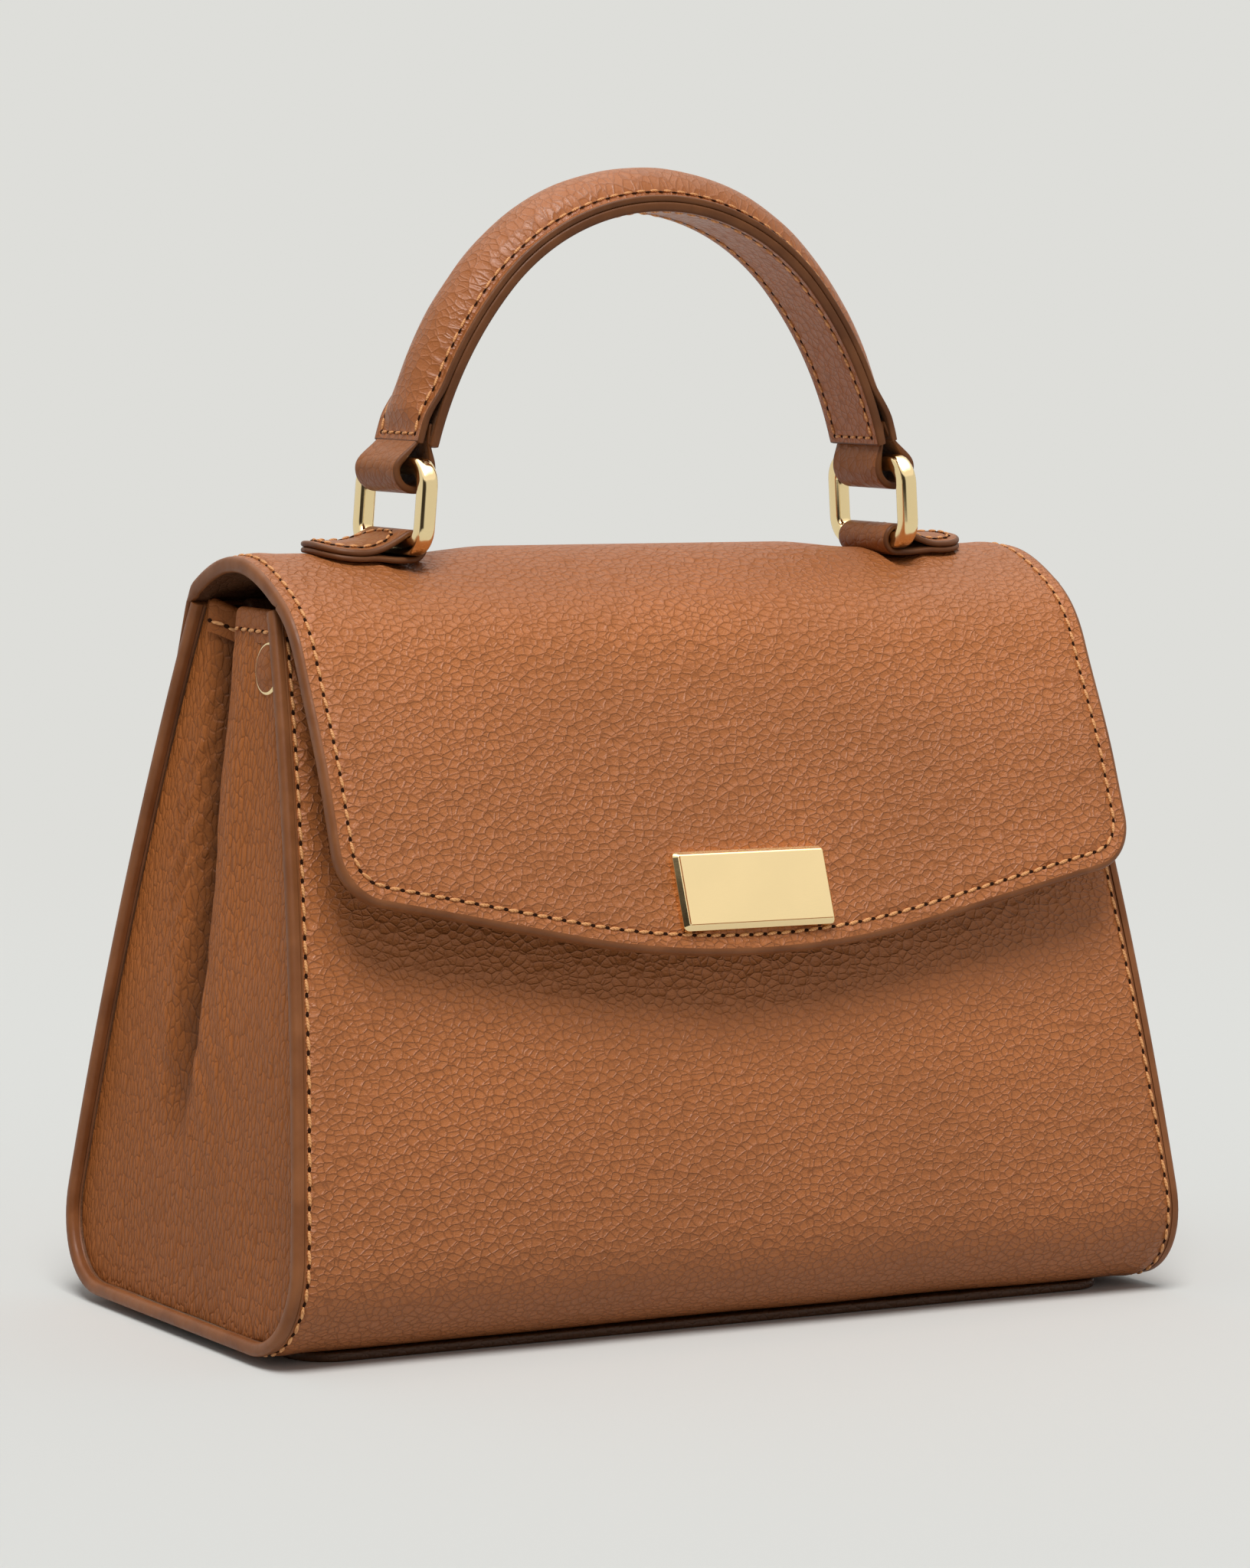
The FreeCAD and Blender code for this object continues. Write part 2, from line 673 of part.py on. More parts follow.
nodes = {
    "front_panel": front_panel,
    "back_panel": back_panel,
    "base_panel": base_panel,
    "base_stiffener": base_stiffener,
    "left_gusset": left_gusset,
    "right_gusset": right_gusset,
    "left_gusset_binding": left_gusset_binding,
    "right_gusset_binding": right_gusset_binding,
    "left_edge_welt": left_edge_welt,
    "right_edge_welt": right_edge_welt,
    "lining": lining,
    "front_mouth_facing": front_mouth_facing,
    "back_mouth_facing": back_mouth_facing,
    "mouth_roll": mouth_roll,
    "clasp_socket": clasp_socket,
    "clasp_socket_washer": clasp_socket_washer,
    "left_pleat_stud": left_pleat_stud,
    "right_pleat_stud": right_pleat_stud,
    "pleat_stud_washers": pleat_stud_washers,
    "flap_anchor": flap_anchor,
    "flap_outer": flap_outer,
    "flap_lining": flap_lining,
    "clasp_plate": clasp_plate,
    "clasp_plate_rivets": clasp_plate_rivets,
    "clasp_stud": clasp_stud,
    "left_tab": left_tab,
    "right_tab": right_tab,
    "left_ring": left_ring,
    "right_ring": right_ring,
    "handle_cover": handle_cover,
    "handle_core": handle_core,
    "handle_strap": handle_strap,
    "left_handle_loop": left_handle_loop,
    "right_handle_loop": right_handle_loop,
}

os.makedirs("parts", exist_ok=True)
for name, shape in nodes.items():
    shape.exportStep("parts/" + name + ".step")
    box = shape.BoundBox
    print(name, len(shape.Solids), shape.isValid(), round(shape.Volume, 1),
          [round(v, 2) for v in (box.XMin, box.YMin, box.ZMin, box.XMax, box.YMax, box.ZMax)])
print("crease", round(crease.y, 3), round(crease.z, 3), "crown", round(crown_centre.y, 3), round(crown_top, 3))
print("lower bar", round(bar_x, 3), round(bar_z, 3))
print("upper bar", round(top_bar_x, 3), round(top_bar_z, 3))
print("handle top", round(handle_top, 3), "fall", round(fall_lean, 2), "clasp", clasp_height)
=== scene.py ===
import bisect
import math

import bmesh
import bpy
from mathutils import Matrix, Vector, geometry, noise


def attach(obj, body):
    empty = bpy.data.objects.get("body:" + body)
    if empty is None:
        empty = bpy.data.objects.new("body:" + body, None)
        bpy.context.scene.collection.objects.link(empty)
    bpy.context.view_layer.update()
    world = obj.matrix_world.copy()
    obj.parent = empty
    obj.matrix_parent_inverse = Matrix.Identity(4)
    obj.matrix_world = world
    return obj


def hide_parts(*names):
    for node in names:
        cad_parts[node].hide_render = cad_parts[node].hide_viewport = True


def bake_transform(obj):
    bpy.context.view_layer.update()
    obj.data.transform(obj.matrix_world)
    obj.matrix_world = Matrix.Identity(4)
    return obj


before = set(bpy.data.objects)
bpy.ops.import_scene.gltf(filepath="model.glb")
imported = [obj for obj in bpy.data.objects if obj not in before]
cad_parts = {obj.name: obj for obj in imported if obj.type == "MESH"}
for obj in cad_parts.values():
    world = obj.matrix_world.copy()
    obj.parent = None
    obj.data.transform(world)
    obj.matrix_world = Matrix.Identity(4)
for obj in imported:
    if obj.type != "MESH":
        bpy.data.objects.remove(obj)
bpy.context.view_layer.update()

mm = 0.001


# Base panel: the sole, cut from firm dark brown leather with round corners. It is glued and
# sewn under the turned-in panels, and its cut edge is burnished. A fibre board stiffens it.
def plug(tree, node, inputs):
    for key, value in inputs.items():
        if isinstance(value, bpy.types.NodeSocket):
            tree.links.new(value, node.inputs[key])
        else:
            node.inputs[key].default_value = value


def add_node(tree, kind, inputs=None, **settings):
    node = tree.nodes.new(kind)
    for key, value in settings.items():
        setattr(node, key, value)
    plug(tree, node, inputs or {})
    return node


def combine(tree, operation, a, b):
    return add_node(tree, "ShaderNodeMath", {0: a, 1: b}, operation=operation).outputs[0]


def sum_of(tree, a, b):
    return combine(tree, "ADD", a, b)


def times(tree, a, b):
    return combine(tree, "MULTIPLY", a, b)


def ramp(tree, value, low, high, to_low=0.0, to_high=1.0):
    inputs = {"Value": value, "From Min": low, "From Max": high, "To Min": to_low, "To Max": to_high}
    return add_node(tree, "ShaderNodeMapRange", inputs, interpolation_type="SMOOTHSTEP").outputs[0]


def mix_colour(tree, share, a, b, blend_type="MIX"):
    inputs = {"Factor": share, 6: a, 7: b}
    return add_node(tree, "ShaderNodeMix", inputs, data_type="RGBA", blend_type=blend_type).outputs[2]


def noise_of(tree, where, scale, detail=2.0):
    inputs = {"Vector": where, "Scale": scale, "Detail": detail}
    return add_node(tree, "ShaderNodeTexNoise", inputs).outputs["Fac"]


def object_place(tree):
    return add_node(tree, "ShaderNodeTexCoord").outputs["Object"]


def cut_place(tree):
    return add_node(tree, "ShaderNodeUVMap", uv_map="cut").outputs[0]


def emboss(tree, skin, height, strength, distance):
    bump = add_node(tree, "ShaderNodeBump", {"Strength": strength, "Distance": distance, "Height": height})
    plug(tree, skin, {"Normal": bump.outputs[0]})


def new_group(name, inputs, outputs):
    group = bpy.data.node_groups.new(name, "ShaderNodeTree")
    for label, kind, value in inputs:
        group.interface.new_socket(label, in_out="INPUT", socket_type=kind).default_value = value
    for label, kind in outputs:
        group.interface.new_socket(label, in_out="OUTPUT", socket_type=kind)
    return group, add_node(group, "NodeGroupInput").outputs, add_node(group, "NodeGroupOutput")


def new_material(name):
    material = bpy.data.materials.new(name)
    material.use_nodes = True
    return material, material.node_tree, material.node_tree.nodes["Principled BSDF"]


grain, given, result = new_group(
    "pebbled_grain",
    [("Place", "NodeSocketVector", (0, 0, 0)), ("Cells", "NodeSocketFloat", 300.0),
     ("Tone", "NodeSocketColor", (0.4, 0.16, 0.07, 1)), ("Crease", "NodeSocketColor", (0.2, 0.07, 0.02, 1)),
     ("Gloss", "NodeSocketFloat", 0.5)],
    [("Colour", "NodeSocketColor"), ("Roughness", "NodeSocketFloat"), ("Height", "NodeSocketFloat")])
drift_reach, finer = 0.0014, 2.1
drift = add_node(grain, "ShaderNodeTexNoise", {"Vector": given["Place"], "Scale": 190.0, "Detail": 1.0})
drift = add_node(grain, "ShaderNodeVectorMath", {0: drift.outputs["Color"], 1: (0.5, 0.5, 0.5)},
                 operation="SUBTRACT")
drift = add_node(grain, "ShaderNodeVectorMath", {0: drift.outputs[0], "Scale": drift_reach},
                 operation="SCALE")
place = add_node(grain, "ShaderNodeVectorMath", {0: given["Place"], 1: drift.outputs[0]}).outputs[0]


def cells_of(scale, feature):
    inputs = {"Vector": place, "Scale": scale, "Randomness": 1.0}
    return add_node(grain, "ShaderNodeTexVoronoi", inputs, feature=feature).outputs["Distance"]


pebbles = cells_of(given["Cells"], "DISTANCE_TO_EDGE")
middles = cells_of(given["Cells"], "F1")
creasing = cells_of(times(grain, given["Cells"], finer), "DISTANCE_TO_EDGE")
patches = noise_of(grain, given["Place"], 14.0, 4.0)
swell = noise_of(grain, given["Place"], 130.0)
pores = noise_of(grain, given["Place"], 1700.0)
dome = combine(grain, "SUBTRACT", 1.0, times(grain, middles, middles))
trench = ramp(grain, pebbles, 0.0, 0.15)
fine = ramp(grain, creasing, 0.0, 0.2)
height = times(grain, dome, 0.55)
for form, share in ((trench, 0.17), (fine, 0.06), (swell, 0.7), (pores, 0.03)):
    height = sum_of(grain, height, times(grain, form, share))
line_share = combine(grain, "SUBTRACT", 1.0, ramp(grain, pebbles, 0.0, 0.1))
line_share = times(grain, line_share, ramp(grain, patches, 0.35, 0.65, 0.18, 0.5))
line_share = sum_of(grain, line_share, ramp(grain, creasing, 0.0, 0.1, 0.1, 0.0))
line_share.node.use_clamp = True
colour = mix_colour(grain, line_share, given["Tone"], given["Crease"])
shade = ramp(grain, patches, 0.3, 0.7, 0.9, 1.08)
shade = add_node(grain, "ShaderNodeCombineXYZ", {0: shade, 1: shade, 2: shade}).outputs[0]
colour = mix_colour(grain, 1.0, colour, shade, "MULTIPLY")
rough = sum_of(grain, given["Gloss"], ramp(grain, dome, 0.0, 1.0, 0.1, -0.03))
rough = sum_of(grain, rough, ramp(grain, pores, 0.3, 0.7, -0.03, 0.03))
plug(grain, result, {"Colour": colour, "Roughness": rough, "Height": height})


def leather(name, tone, crease, cells=410.0, depth=1.0, gloss=0.42, cut=False, stretch=(1.0, 1.0, 1.25),
            shine=0.3, shaded=False):
    material, tree, skin = new_material(name)
    where = cut_place(tree) if cut else object_place(tree)
    where = add_node(tree, "ShaderNodeMapping", {"Vector": where, "Scale": stretch}).outputs[0]
    inputs = {"Place": where, "Cells": cells, "Tone": (*tone, 1), "Crease": (*crease, 1), "Gloss": gloss}
    hide = add_node(tree, "ShaderNodeGroup", inputs, node_tree=grain).outputs
    colour = hide["Colour"]
    # Painted light: the shade attribute multiplies the colour, laying painted shade and painted highlight on
    # the pieces that carry it.
    if shaded:
        painted_light = add_node(tree, "ShaderNodeAttribute", attribute_name="shade").outputs["Fac"]
        colour = mix_colour(tree, 1.0, colour, painted_light, "MULTIPLY")
    plug(tree, skin, {"Base Color": colour, "Roughness": hide["Roughness"], "Specular IOR Level": shine})
    emboss(tree, skin, hide["Height"], depth, 0.0008)
    return material


def piece(name, bm, *finishes):
    mesh = bpy.data.meshes.new(name)
    bm.to_mesh(mesh)
    bm.free()
    for finish in finishes:
        mesh.materials.append(finish)
    mesh.shade_smooth()
    mesh.set_sharp_from_angle(angle=math.radians(50))
    made = bpy.data.objects.new(name, mesh)
    bpy.context.scene.collection.objects.link(made)
    return made


def bevel(bm, edges, offset, segments):
    bmesh.ops.bevel(bm, geom=edges, offset=offset * mm, segments=segments, profile=0.5,
                    affect="EDGES", material=-1)


def slab(width, depth, thickness, corner, segments):
    bm = bmesh.new()
    bmesh.ops.create_cube(bm, size=1.0)
    bmesh.ops.scale(bm, vec=(width * mm, depth * mm, thickness * mm), verts=bm.verts)
    bmesh.ops.translate(bm, vec=(0, 0, thickness / 2 * mm), verts=bm.verts)
    upright = [e for e in bm.edges if abs(e.verts[0].co.z - e.verts[1].co.z) > mm]
    bevel(bm, upright, corner, segments)
    return bm


sole_half_length, sole_half_depth, sole_thickness, sole_corner, sole_edge = 124.5, 54.0, 2.5, 12.0, 0.7
sole_leather = leather("sole_leather", (0.085, 0.034, 0.013), (0.04, 0.015, 0.006), cells=420.0, depth=0.4)
bm = slab(2 * sole_half_length, 2 * sole_half_depth, sole_thickness, sole_corner, 10)
rim = [e for e in bm.edges if abs(e.verts[0].co.z - e.verts[1].co.z) < 0.1 * mm]
bevel(bm, rim, sole_edge, 3)
sole = piece("sole", bm, sole_leather)
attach(sole, "body")
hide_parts("base_panel")

board, tree, skin = new_material("fibre_board")
fibres = noise_of(tree, object_place(tree), 700.0, 6.0)
tone = mix_colour(tree, fibres, (0.07, 0.035, 0.017, 1), (0.12, 0.065, 0.034, 1))
plug(tree, skin, {"Base Color": tone, "Roughness": 0.9})
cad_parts["base_stiffener"].material_slots[0].material = board


# Front and back panel: tan pebbled calf leather, one cut piece each, that leans in to the
# mouth and turns under the base. It is sewn with orange-tan thread along its sides and mouth.
body_height, base_half_width, mouth_half_width = 191.0, 138.0, 120.5
mouth_half_depth, shoulder_half_depth, shoulder_height = 24.5, 70.5, 27.5
side_radius, corner_radius, panel_thickness, panel_return = 830.0, 23.0, 3.2, 20.0
welt_width, welt_depth = 3.6, 2.6

chord_y = shoulder_half_depth - mouth_half_depth
chord_z = shoulder_height - body_height
chord = math.hypot(chord_y, chord_z)
reach = math.sqrt(side_radius ** 2 - chord ** 2 / 4)
side_centre = Vector(((mouth_half_depth + shoulder_half_depth) / 2 + reach * chord_z / chord,
                      (body_height + shoulder_height) / 2 - reach * chord_y / chord))
corner_z = sole_thickness + corner_radius
corner_y = side_centre.x + math.sqrt((side_radius - corner_radius) ** 2 - (corner_z - side_centre.y) ** 2)
corner_angle = math.atan2(corner_z - side_centre.y, corner_y - side_centre.x)


def half_width(z):
    return base_half_width + (mouth_half_width - base_half_width) * z / body_height


def side_angle(z, d=0.0):
    return math.asin((z - side_centre.y) / (side_radius - d))


def half_depth(z, d=0.0):
    return side_centre.x + (side_radius - d) * math.cos(side_angle(z, d))


def spread(begin, end, steps):
    return [begin + (end - begin) * k / steps for k in range(steps + 1)]


def bend(centre, radius, begin, end, steps):
    return [centre + Vector((math.cos(a), math.sin(a))) * radius for a in spread(begin, end, steps)]


def follow(points, hand):
    points = [p for k, p in enumerate(points) if k == 0 or (p - points[k - 1]).length > 1e-6]
    runs = [b - a for a, b in zip(points, points[1:])]
    reach = [0.0]
    for run in runs:
        reach.append(reach[-1] + run.length)
    sides = [Vector((-run.y, run.x)).normalized() * hand for run in runs]
    turned = [(a + b).normalized() for a, b in zip([sides[0]] + sides, sides + [sides[-1]])]

    def at(v, d):
        k = min(max(bisect.bisect_right(reach, v) - 1, 0), len(runs) - 1)
        t = (v - reach[k]) / runs[k].length
        share = min(max(t, 0.0), 1.0)
        return points[k] + runs[k] * t - turned[k].lerp(turned[k + 1], share).normalized() * d

    return at, reach[-1]


base_flat = 60.0
wall_line = bend(side_centre, side_radius, side_angle(body_height), corner_angle, 60)
wall_line += bend(Vector((corner_y, corner_z)), corner_radius, corner_angle, -math.pi / 2, 16)
wall_line += [Vector((corner_y - base_flat, sole_thickness))]
wall, wall_length = follow(wall_line, 1)
wall_length += corner_y - base_flat
base_run = wall_length - corner_y


def only(items, kind):
    return [item for item in items if isinstance(item, kind)]


def extrude_on(bm, edges, tags):
    made = bmesh.ops.extrude_edge_only(bm, edges=edges)["geom"]
    fresh = {}
    for vert in only(made, bmesh.types.BMVert):
        for edge in vert.link_edges:
            if edge.other_vert(vert) in tags:
                fresh[vert] = tags[edge.other_vert(vert)]
    ahead = only(made, bmesh.types.BMEdge)
    ahead = [edge for edge in ahead if edge.verts[0] in fresh and edge.verts[1] in fresh]
    return ahead, fresh, only(made, bmesh.types.BMFace)


def leather_sheet(columns, rows, cut, lay, thickness, rounding, channel=None, shade=None):
    bm = bmesh.new()
    bmesh.ops.create_grid(bm, x_segments=columns, y_segments=rows, size=0.5)
    for vert in bm.verts:
        vert.co = (*cut(round((vert.co.x + 0.5) * columns), round((vert.co.y + 0.5) * rows)), 0.0)
    rim = [edge for edge in bm.edges if edge.is_boundary]
    ways = {}
    for edge in rim:
        run = edge.verts[1].co - edge.verts[0].co
        way = Vector((run.y, -run.x, 0.0)).normalized()
        if way.dot(edge.link_faces[0].calc_center_median() - edge.verts[0].co) > 0:
            way.negate()
        for vert in edge.verts:
            ways[vert] = ways.get(vert, Vector()) + way
    tags = {vert: (vert.co.copy(), way.normalized()) for vert, way in ways.items()}
    inner = bmesh.ops.duplicate(bm, geom=bm.verts[:] + bm.edges[:] + bm.faces[:])["geom"]
    under = only(inner, bmesh.types.BMFace)
    for face in under:
        face.material_index = 2
    bmesh.ops.reverse_faces(bm, faces=under)
    bmesh.ops.translate(bm, vec=(0, 0, -thickness), verts=only(inner, bmesh.types.BMVert))
    turns = (math.pi / 6, math.pi / 3, math.pi / 2)
    quarter = [(rounding * math.sin(a), rounding * (1 - math.cos(a))) for a in turns]
    steps = quarter + [(out, thickness - down) for out, down in reversed(quarter)] + [(0.0, thickness)]
    edges = rim
    for out, down in steps:
        edges, tags, faces = extrude_on(bm, edges, tags)
        for face in faces:
            face.material_index = 1
        for vert, (spot, way) in tags.items():
            vert.co = spot + way * out - Vector((0, 0, down))
    bmesh.ops.remove_doubles(bm, verts=bm.verts, dist=0.0005)
    uv = bm.loops.layers.uv.new("cut")
    for face in bm.faces:
        for loop in face.loops:
            loop[uv].uv = loop.vert.co.xy * mm
    # The shade attribute carries painted shade and painted highlight into the colour.
    painted_light = bm.verts.layers.float.new("shade") if shade else None
    for vert in bm.verts:
        u, v, d = vert.co.x, vert.co.y, -vert.co.z
        if shade:
            vert[painted_light] = shade(u, v)
        if channel and d < 0.01:
            d += channel(u, v)
        vert.co = lay(u, v, d)
    bmesh.ops.recalc_face_normals(bm, faces=bm.faces)
    return bm


def channel_at(distance, depth=0.35, width=0.9):
    return depth * math.exp(-(distance / width) ** 2)


def in_channel(lay, channel):
    return lambda u, v, d: lay(u, v, d + channel(u, v))


def evenly(i, columns, half):
    return (-1 + 2 * i / columns) * half


def across(i, columns, half, near):
    if i < len(near):
        return -half + near[i]
    if i > columns - len(near):
        return half - near[columns - i]
    inner = half - near[-1]
    return -inner + 2 * inner * (i - len(near) + 1) / (columns - 2 * len(near) + 2)


def bead(name, u_segments, v_segments):
    bm = bmesh.new()
    bmesh.ops.create_uvsphere(bm, u_segments=u_segments, v_segments=v_segments, radius=1.0)
    mesh = bpy.data.meshes.new(name)
    bm.to_mesh(mesh)
    bm.free()
    return mesh


# Painted shade: a dark bead sits in each needle hole for the shade inside it.
stitch_bead, hole_shade_bead = bead("stitch_bead", 8, 6), bead("hole_shade_bead", 8, 4)
for face in hole_shade_bead.polygons:
    face.material_index = 1
hole_width, hole_length, hole_rise = 0.6, 0.85, 0.22
stitch_rise, stitch_slant, stitch_short = 0.24, 0.12, 0.55


def set_in(bm, mesh, spot, axes):
    place = Matrix.Translation(spot) @ Matrix(axes).transposed().to_4x4()
    mesh.transform(place)
    bm.from_mesh(mesh)
    mesh.transform(place.inverted())


def sew(bm, path, lay, pitch=4.9, thread=0.5, closed=False):
    path = [Vector(p) for p in path] + ([Vector(path[0])] if closed else [])
    at, length = follow(path, 1)
    count = max(2, round(length / pitch))
    step = length / count
    holes = [at(k * step, 0.0) for k in range(count + 1)]
    for k, spot in enumerate(holes):
        here = lay(spot.x, spot.y, 0.0)
        out = (lay(spot.x, spot.y, -1.0) - here).normalized()
        way = holes[k + 1] - spot if k < count else spot - holes[k - 1]
        ahead = spot + way.normalized() * 0.5
        along = (lay(ahead.x, ahead.y, 0.0) - here).normalized()
        side = out.cross(along).normalized()
        along = side.cross(out)
        if k < count or not closed:
            axes = (side * hole_width * mm, along * hole_length * mm, out * hole_rise * mm)
            set_in(bm, hole_shade_bead, here, axes)
        if k == count:
            break
        middle = (spot + holes[k + 1]) / 2
        run = lay(holes[k + 1].x, holes[k + 1].y, 0.0) - here
        centre = lay(middle.x, middle.y, 0.0) + out * stitch_rise * mm
        slanted = (run.normalized() + side * stitch_slant).normalized()
        side = out.cross(slanted).normalized()
        axes = (side * thread * mm, side.cross(slanted) * thread * mm,
                slanted * (run.length / 2 - stitch_short * mm))
        set_in(bm, stitch_bead, centre, axes)


calf = leather("tan_calf", (0.4, 0.132, 0.038), (0.185, 0.052, 0.012), cut=True, stretch=(1.0, 1.3, 1.0),
               shaded=True)
flesh = leather("brown_backing", (0.13, 0.054, 0.023), (0.08, 0.032, 0.012), cells=500.0, depth=0.3,
                gloss=0.62)


def edge_paint(name, low, high):
    material, tree, skin = new_material(name)
    where = object_place(tree)
    coats = noise_of(tree, where, 90.0, 5.0)
    ripple = noise_of(tree, where, 420.0, 3.0)
    tone = mix_colour(tree, ramp(tree, coats, 0.3, 0.7), (*low, 1), (*high, 1))
    rough = ramp(tree, ripple, 0.3, 0.7, 0.36, 0.48)
    plug(tree, skin, {"Base Color": tone, "Roughness": rough, "Specular IOR Level": 0.2})
    emboss(tree, skin, ripple, 0.25, 0.0003)
    return material


paint = edge_paint("edge_paint", (0.17, 0.057, 0.018), (0.24, 0.087, 0.03))
dark_paint = edge_paint("dark_edge_paint", (0.1, 0.033, 0.01), (0.15, 0.053, 0.017))

thread, tree, skin = new_material("thread")
strands = {"Vector": object_place(tree), "Scale": 700.0, "Distortion": 3.0}
strands = add_node(tree, "ShaderNodeTexWave", strands, bands_direction="DIAGONAL").outputs["Fac"]
tone = mix_colour(tree, strands, (0.5, 0.2, 0.062, 1), (0.78, 0.38, 0.14, 1))
plug(tree, skin, {"Base Color": tone, "Roughness": 0.55})
emboss(tree, skin, strands, 0.3, 0.0002)

# Painted shade: the near-black finish of the needle-hole beads, mottled a little.
needle_hole_shade, tree, skin = new_material("needle_hole_shade")
hole_shade_mottle = noise_of(tree, object_place(tree), 900.0)
tone = mix_colour(tree, hole_shade_mottle, (0.012, 0.004, 0.002, 1), (0.03, 0.01, 0.004, 1))
plug(tree, skin, {"Base Color": tone, "Roughness": 0.85, "Specular IOR Level": 0.05})

seam_inset, seam_start, mouth_seam_drop, mouth_seam_inset = 1.5, 8.0, 5.0, 9.0
panel_columns, panel_rows, panel_round = 116, 92, 0.8
panel_near = [0.0, 0.3, 0.6, 0.9, 1.3, 1.9, 2.8, 4.2, 6.0, 9.0]
panel_end = base_run + panel_return
panel_wave, panel_wave_length, panel_wave_start = 0.45, 46.0, 30.0
puff_height, puff_inset, puff_width = 0.4, 5.0, 2.6
# Painted shade: the panel colour grows darker towards the base, from foot_top down over foot_run.
painted_foot_shade, foot_top, foot_run = 0.22, 70.0, 60.0


def panel_edge(v):
    return half_width(wall(v, 0.0).y) - welt_depth


def panel_piece(name, front):
    facing = -1 if front else 1

    def lay(u, v, d):
        wave = panel_wave * noise.noise(Vector((u, v, 40.0 * facing)) / panel_wave_length)
        spot = wall(v, d - wave * min(1.0, v / panel_wave_start))
        return Vector((u, facing * spot.x, spot.y)) * mm

    def cut(i, j):
        v = panel_round + (panel_end - 2 * panel_round) * j / panel_rows
        return across(i, panel_columns, panel_edge(v) - panel_round, panel_near), v

    def channel(u, v):
        edge = panel_edge(v) - abs(u)
        puff = puff_height * math.exp(-((edge - puff_inset) / puff_width) ** 2)
        return channel_at(edge - seam_inset) + channel_at(v - mouth_seam_drop) - puff

    # Painted shade: darker towards the base.
    def shade(u, v):
        return 1.0 - painted_foot_shade * min(1.0, max(0.0, (foot_top - wall(v, 0.0).y) / foot_run))

    bm = leather_sheet(panel_columns, panel_rows, cut, lay, panel_thickness, panel_round, channel, shade)
    panel = piece(name, bm, calf, paint, flesh)
    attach(panel, "body")
    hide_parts(name)
    on_seam = in_channel(lay, channel)
    bm = bmesh.new()
    for side in (-1, 1):
        down = spread(seam_start, base_run, 60)
        sew(bm, [(side * (panel_edge(v) - seam_inset), v) for v in down], on_seam)
    mouth_seam = half_width(body_height) - welt_depth - mouth_seam_inset
    sew(bm, [(-mouth_seam, mouth_seam_drop), (mouth_seam, mouth_seam_drop)], on_seam)
    stitching = piece(name + "_stitching", bm, thread, needle_hole_shade)
    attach(stitching, "body")


panel_piece("front_panel", True)
panel_piece("back_panel", False)


# Edge welts: the raw side edges of the panels and of the base turn, built up and painted
# brown in several coats until they are round and satin. One runs in a U round each gusset.
def sweep(rings, closed):
    bm = bmesh.new()
    count = len(rings[0])
    start = [bm.verts.new(spot) for spot in rings[0]]
    first = [bm.edges.new((start[k], start[(k + 1) % count])) for k in range(count)]
    edges, tags = first, {vert: k for k, vert in enumerate(start)}
    for ring in rings[1:] + (rings[:1] if closed else []):
        edges, tags, faces = extrude_on(bm, edges, tags)
        for vert, k in tags.items():
            vert.co = ring[k]
    if closed:
        bmesh.ops.remove_doubles(bm, verts=bm.verts, dist=1e-7)
    else:
        bmesh.ops.edgeloop_fill(bm, edges=first)
        bmesh.ops.edgeloop_fill(bm, edges=edges)
    bmesh.ops.recalc_face_normals(bm, faces=bm.faces)
    return bm


welt_round, welt_step = 1.5, 0.12
welt_section = [(welt_step, welt_depth)]
for middle, begin in ((welt_round, -math.pi), (welt_width - welt_round, -math.pi / 2)):
    corner = bend(Vector((middle, welt_round)), welt_round, begin, begin + math.pi / 2, 6)
    welt_section += [(p.x, p.y) for p in corner]
welt_section += [(welt_width - welt_step, welt_depth)]
along_wall = spread(0.0, wall_length, 110)
welt_stations = [(-1, v) for v in along_wall[:-1]] + [(1, v) for v in reversed(along_wall)]
for name, side in (("left_edge_welt", -1), ("right_edge_welt", 1)):
    rings = []
    for facing, v in welt_stations:
        ring = []
        for d, w in welt_section:
            spot = wall(v, d)
            ring.append(Vector((side * (half_width(spot.y) - w), facing * spot.x, spot.y)) * mm)
        rings.append(ring)
    welt = piece(name, sweep(rings, False), paint)
    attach(welt, "body")
    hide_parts(name)


# Gussets: thinner, softer calf leather sunk behind each welt, with one deep pleat that
# dies out above the base. A bound strip with its own seam closes the top edge.
gusset_recess, gusset_thickness, gusset_gap, gusset_round, gusset_columns = 3.8, 1.8, 0.15, 0.3, 100
pleat_depth, pleat_foot, pleat_probe = 15.0, 46.0, 0.2
binding_half, binding_drop, binding_crown, binding_seam, binding_gap = 1.7, 8.0, 1.0, 5.0, 1.5
soft_calf = leather("soft_calf", (0.37, 0.116, 0.028), (0.18, 0.05, 0.011), cells=400.0, depth=1.1,
                    gloss=0.46, stretch=(1.0, 1.5, 0.65), shine=0.12, shaded=True)
bound_calf = leather("bound_calf", (0.3, 0.095, 0.025), (0.16, 0.046, 0.011), cells=400.0, depth=0.5,
                     gloss=0.46, shine=0.12)
both_sides = (("left", -1), ("right", 1))


def smooth(t):
    t = min(max(t, 0.0), 1.0)
    return t * t * (3 - 2 * t)


def pleat(y, z):
    lower = smooth((120.0 - z) / 70.0)
    fold, valley, rear = 1.5 + 3.0 * lower, 5.5 + 8.0 * lower, 20.5 + 6.0 * lower
    depth = pleat_depth * max(0.0, (z - pleat_foot) / (body_height - pleat_foot)) ** 0.8
    if y < valley:
        return depth * smooth((y - fold) / (valley - fold))
    return depth * (1 - smooth((y - valley) / (rear - valley)) ** 0.8)


